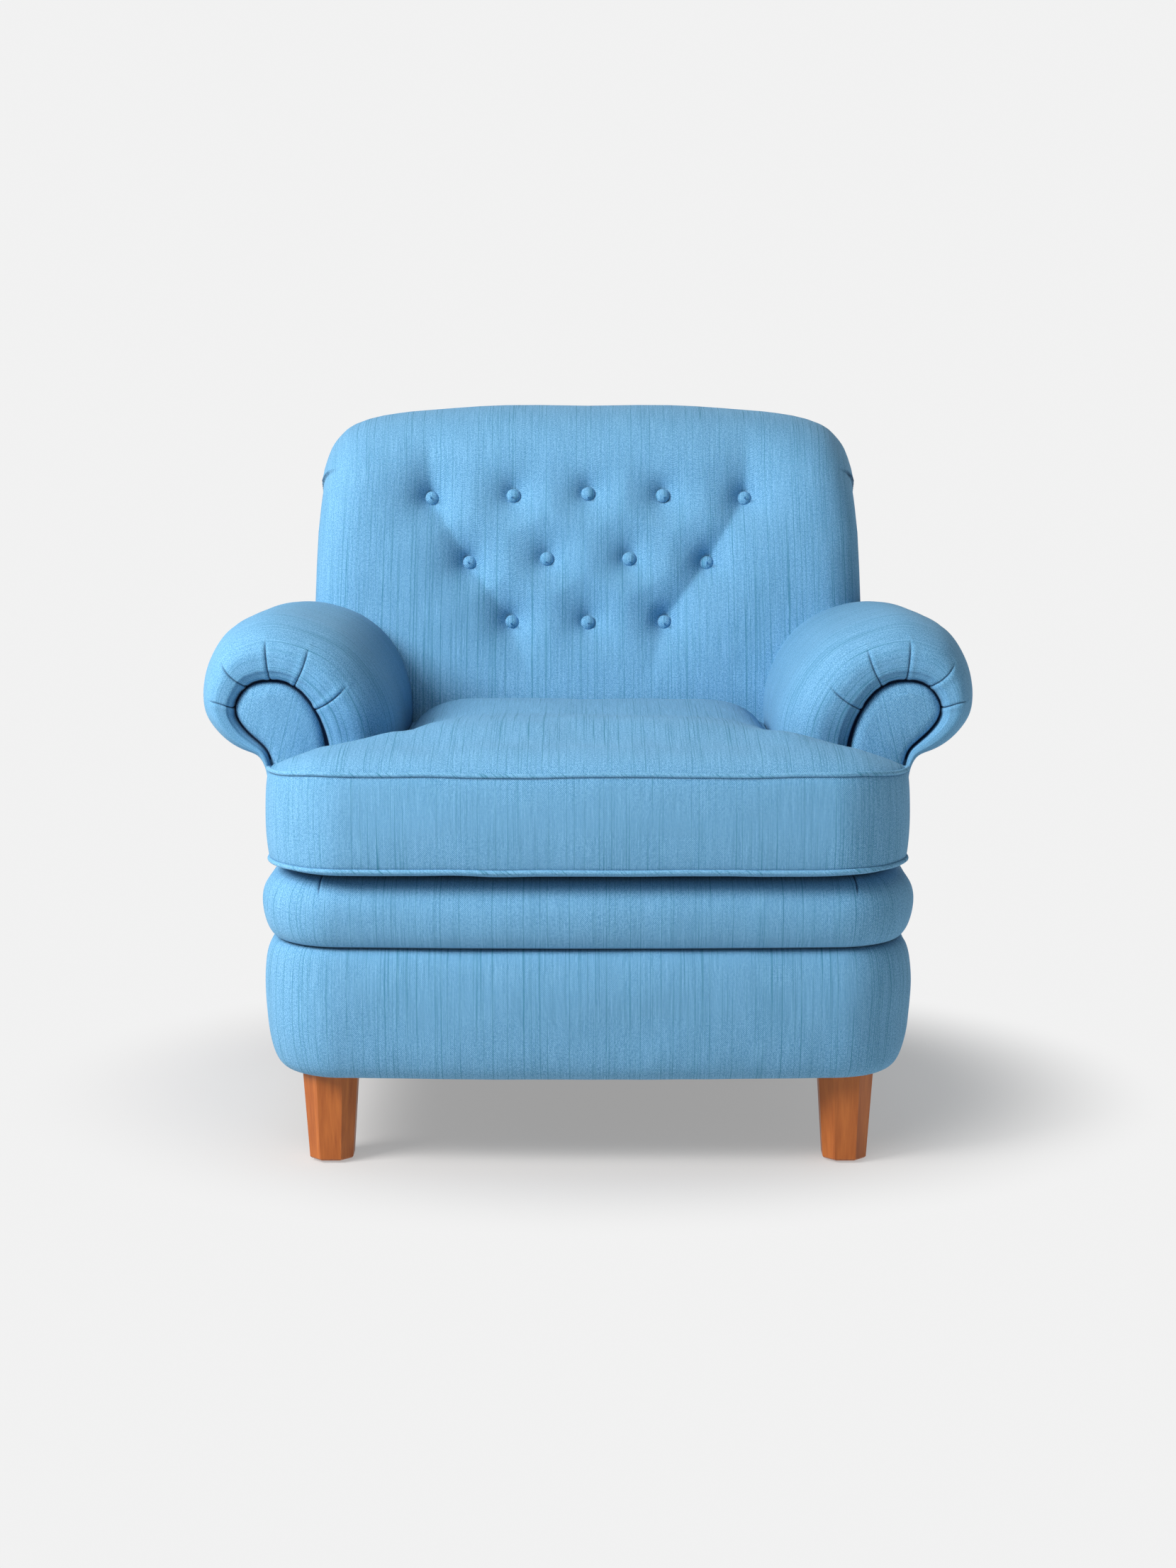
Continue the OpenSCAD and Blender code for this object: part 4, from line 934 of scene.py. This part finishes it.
def boxing(rows=26):
    k = np.linspace(0, 1, rows)
    zt = welt_top(OUT[:, 0], OUT[:, 1]) - 1.2; zl = welt_low(OUT[:, 0], OUT[:, 1]) + 0.8
    x0, y0 = OUT[:, 0], OUT[:, 1]
    bul = np.where(np.abs(x0) > 300, 4.5, 7.0)
    back = (y0 > -240)
    bul = np.where(back, 1.6, bul)                           # close to arms and back
    bul = np.where((y0 > -245) & (np.abs(x0) > 240), 0.8, bul)
    kern = np.hanning(21); kern /= kern.sum()
    bul = np.convolve(np.r_[bul[-10:], bul, bul[:10]], kern, "valid")
    sv = np.arange(len(OUT)) * PER / len(OUT)
    prof = np.sin(np.pi * k) ** 0.62
    wav = 1.0 + 0.13 * vnoise(sv[None] / 120, k[:, None] * 2 + 3, 81) + 0.07 * vnoise(sv[None] / 40, k[:, None] * 3, 82)
    B = prof[:, None] * bul[None] * wav
    XY = OUT[None] + ON[None] * B[..., None]
    Z = zl[None] * (1 - k[:, None]) + zt[None] * k[:, None]
    P = np.concatenate([XY, Z[..., None]], -1)
    P = np.concatenate([P, P[:, :1]], 1)
    sv = np.r_[sv, PER]
    uv = np.stack([np.broadcast_to(sv[None], P.shape[:2]), Z[:, [0]] * np.ones(P.shape[1])], -1)
    # painted shade in thin bands along the top and bottom welt seams
    sh = 0.42 * (np.exp(-(k * 105 / 1.5) ** 2) + np.exp(-((1 - k) * 105 / 1.5) ** 2))[:, None] * np.ones(P.shape[1])
    return P, uv, sh


g = Geo()
Vt, Ft, uvt, sht = panel(True); g.add(Vt, Ft, uvt, sht)
Vl, Fl, uvl, shl = panel(False); g.add(Vl, Fl, uvl, shl)
Pbx, uvx, shx = boxing(); g.grid(Pbx, uvx, shx)
cushion = g.mesh("seat_cushion_cloth", "seat_cushion", M_FAB, ["seat_cushion_cover"], weld=0.02)


def welt_piece(name, zf, node, out=0.6, r=2.7, dz=0.0):
    z = zf(OUT[:, 0], OUT[:, 1]) + dz
    off = np.full(len(OUT), out)
    path = np.concatenate([OUT + ON * off[:, None], z[:, None]], 1)
    R = tube_rings(path, r, 12)
    R = np.concatenate([R, R[:, :1]], 1)
    R = np.concatenate([R, R[:1]], 0)
    sv = np.linspace(0, PER, R.shape[0])
    av = np.linspace(0, 2 * np.pi * r, R.shape[1])
    uv = np.stack([sv[:, None] * np.ones(R.shape[1]), av[None] * np.ones((R.shape[0], 1))], -1)
    g = Geo(); g.grid(R, uv)
    return g.mesh(name, "seat_cushion", M_PIPE, [node], weld=0.001)


welt_piece("upper_welt", welt_top, "cushion_piping_top")
welt_piece("lower_welt", welt_low, "cushion_piping_bottom", out=0.7)

# ------------------------------------------------------------------ what is inside


def pad_from(node, move):
    """A hidden foam pad: the CAD pad's own form drawn in under its cover."""
    src = frame["nodes"][node]
    me = src.data.copy()
    o = bpy.data.objects.new(node + "_pad", me)
    bpy.context.scene.collection.objects.link(o)
    me.materials.clear(); me.materials.append(M_FOAM)
    co = np.zeros(len(me.vertices) * 3, np.float32); me.vertices.foreach_get("co", co)
    V = co.reshape(-1, 3).astype(float) / MM
    V = move(V)
    me.vertices.foreach_set("co", (V * MM).astype(np.float32).ravel())
    bm = bmesh.new(); bm.from_mesh(me)
    bmesh.ops.remove_doubles(bm, verts=bm.verts, dist=1e-5)
    bmesh.ops.recalc_face_normals(bm, faces=bm.faces)
    bm.to_mesh(me); bm.free()
    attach(o, src["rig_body"]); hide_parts(node)
    return o


def mv_back(V):
    x, y, z = V.T
    inz = (z > 480) & (z < 820) & (np.abs(x) < 305)
    deep = np.where(inz, 42.0 * (1 - smooth(262, 300, np.abs(x))) * smooth(500, 545, z) * (1 - smooth(785, 815, z)) + 10.0, 0)
    front = y < y_rear(z) - 62
    y = np.where(front, y + deep + 3, y)
    y = np.where(front, np.minimum(y, y_rear(z) - 60), y)
    return np.stack([x * 0.985, y, np.where(z > 700, 700 + (z - 700) * 0.965, np.maximum(z, 349))], -1)


def mv_arm(V):
    x, y, z = V.T
    sg = np.sign(x); ax = np.abs(x)
    k = np.where(y < 0, 0.78, 0.88)
    ax = np.where(z > 452, 344 + (ax - 344) * k, 305 + (ax - 305) * 0.88)
    z = np.where(z > 452, 470 + (z - 470) * np.where(y < 0, 0.80, 0.86), np.maximum(z, 349))
    y = np.where(y < -100, -165, np.minimum(y, 288))
    return np.stack([sg * ax, y, z], -1)


def mv_low(V):
    x, y, z = V.T
    return np.stack([x * 0.972, np.where(y < -300, y + 11, y), np.clip(z, 134, 334)], -1)


def mv_core(V):
    x, y, z = V.T
    return np.stack([x * 0.965, np.where(y < -300, y + 9, np.where(y < -228, y - 8, y - 6)), 362 + (z - 358) * 0.74], -1)


pad_from("back_foam", mv_back)
pad_from("arm_foam_left", mv_arm); pad_from("arm_foam_right", mv_arm)
pad_from("base_padding", mv_low); pad_from("edge_roll_foam", mv_low)
pad_from("seat_cushion_core", mv_core)

# carried-over CAD nodes keep their form and get a finish
FIN = {}
for nme in ("front_rail", "rear_rail", "crest_rail", "back_lower_rail", "corner_blocks"):
    FIN[nme] = M_FRAME_X
for nme in ("side_rail", "arm_rail", "arm_tack_rail"):
    FIN[nme + "_left"] = FIN[nme + "_right"] = M_FRAME_Y
for nme in ("arm_post", "back_post", "facing_board"):
    FIN[nme + "_left"] = FIN[nme + "_right"] = M_FRAME_Z
for nme in ("leg_front_left", "leg_front_right", "leg_rear_left", "leg_rear_right"):
    FIN[nme] = M_LEG
for nme in ("t_nuts", "hanger_bolts", "zip_slider"):
    FIN[nme] = M_STEEL
FIN["seat_springs"] = M_SPRING; FIN["spring_clips"] = M_CLIP
for nme in ("back_webbing", "spring_cloth", "button_twines"):
    FIN[nme] = M_JUTE
FIN["deck_cloth"] = M_DECK; FIN["dust_cover"] = M_DUST; FIN["leg_glides"] = M_GLIDE; FIN["cushion_zip"] = M_ZIP
FIN["platform_foam"] = M_FOAM
FIN["button_twines"] = plain_mat("button_twine", (0.10, 0.31, 0.52), 0.8)
# the cloth wrap on the facing boards, coloured near black as painted shade for the groove round each facing, where the
# board shows
M_WRAP_PAINTED_SHADE = plain_mat("board_wrap_painted_shade", (0.012, 0.045, 0.085), 0.9)
FIN["facing_board_left"] = FIN["facing_board_right"] = M_WRAP_PAINTED_SHADE
for nme, node in frame["nodes"].items():
    if nme in FIN:
        node.data.materials.clear(); node.data.materials.append(FIN[nme])

# ------------------------------------------------------------------ floor, light, camera


def studio():
    m, nt, b = new_mat("studio_floor")
    L = nt.links
    b.inputs["Base Color"].default_value = (0.345, 0.33, 0.32, 1)
    b.inputs["Emission Color"].default_value = (1, 1, 1, 1)
    b.inputs["Emission Strength"].default_value = 0.33
    b.inputs["Roughness"].default_value = 0.95
    b.inputs["Specular IOR Level"].default_value = 0.0
    em = N(nt, "ShaderNodeEmission"); em.inputs["Color"].default_value = (1, 1, 1, 1); em.inputs["Strength"].default_value = 0.884
    tc = N(nt, "ShaderNodeTexCoord")
    mp = N(nt, "ShaderNodeMapping"); mp.inputs["Location"].default_value = (0.0, 0.0, 0.0); mp.inputs["Scale"].default_value = (0.95, 1.12, 1.0)
    L.new(tc.outputs["Object"], mp.inputs[0])
    ln = N(nt, "ShaderNodeVectorMath", operation="LENGTH"); L.new(mp.outputs[0], ln.inputs[0])
    mr = N(nt, "ShaderNodeMapRange", interpolation_type="SMOOTHSTEP"); mr.inputs["From Min"].default_value = 0.41; mr.inputs["From Max"].default_value = 0.70
    L.new(ln.outputs["Value"], mr.inputs["Value"])
    mx = N(nt, "ShaderNodeMixShader")
    L.new(mr.outputs[0], mx.inputs[0]); L.new(b.outputs[0], mx.inputs[1]); L.new(em.outputs[0], mx.inputs[2])
    out = [q for q in nt.nodes if q.type == "OUTPUT_MATERIAL"][0]
    L.new(mx.outputs[0], out.inputs[0])
    # floor with a wide curve up to a wall behind
    prof = [(-60.0, 0.0), (-9.0, 0.0), (3.0, 0.0)]
    for a in np.linspace(0, math.pi / 2, 24)[1:]:
        prof.append((3.0 + 2.5 * math.sin(a), 2.5 - 2.5 * math.cos(a)))
    prof.append((5.5, 9.0))
    V, F = [], []
    for y, z in prof:
        V += [(-60, y, z), (60, y, z)]
    for i in range(len(prof) - 1):
        F.append([2 * i, 2 * i + 1, 2 * i + 3, 2 * i + 2])
    me = bpy.data.meshes.new("studio_floor"); me.from_pydata(V, [], F)
    me.materials.append(m)
    o = bpy.data.objects.new("studio_floor", me)
    bpy.context.scene.collection.objects.link(o)
    me.polygons.foreach_set("use_smooth", [True] * len(me.polygons))
    return o


studio()
w = bpy.data.worlds.new("studio"); bpy.context.scene.world = w
w.use_nodes = True
nt = w.node_tree
bg = nt.nodes["Background"]
bg.inputs[0].default_value = (1.0, 1.0, 1.0, 1)
tc = N(nt, "ShaderNodeTexCoord")
sp = N(nt, "ShaderNodeSeparateXYZ"); nt.links.new(tc.outputs["Generated"], sp.inputs[0])
mr = N(nt, "ShaderNodeMapRange"); mr.inputs["From Min"].default_value = -1.0; mr.inputs["From Max"].default_value = 1.0
mr.inputs["To Min"].default_value = 0.30; mr.inputs["To Max"].default_value = 0.02
nt.links.new(sp.outputs[0], mr.inputs["Value"]); nt.links.new(mr.outputs[0], bg.inputs[1])


def area(name, loc, target, size, power, col=(1, 1, 1)):
    li = bpy.data.lights.new(name, "AREA")
    li.shape = "RECTANGLE"; li.size, li.size_y = size
    li.energy = power; li.color = col
    o = bpy.data.objects.new(name, li)
    bpy.context.scene.collection.objects.link(o)
    o.location = loc
    d = Vector(target) - Vector(loc)
    o.rotation_mode = "QUATERNION"
    o.rotation_quaternion = d.to_track_quat("-Z", "Y")
    return o


area("key", (-2.35, -1.70, 2.35), (0, 0, 0.4), (1.4, 1.4), 150)
area("front_fill", (-0.7, -2.5, 3.3), (0, 0, 0.4), (2.0, 1.4), 30)

cam = bpy.data.cameras.new("photo_camera")
co = bpy.data.objects.new("photo_camera", cam)
bpy.context.scene.collection.objects.link(co)
cam.sensor_width = 36.0
cam.lens = 36.0 * 3942 / 2212
cam.clip_start, cam.clip_end = 0.05, 60
co.location = (0.0, -3.47, 0.935)
co.rotation_euler = (math.radians(90 - 8.95), 0, 0)
bpy.context.scene.camera = co
bpy.context.scene.view_settings.view_transform = "Standard"
bpy.context.scene.view_settings.look = "None"
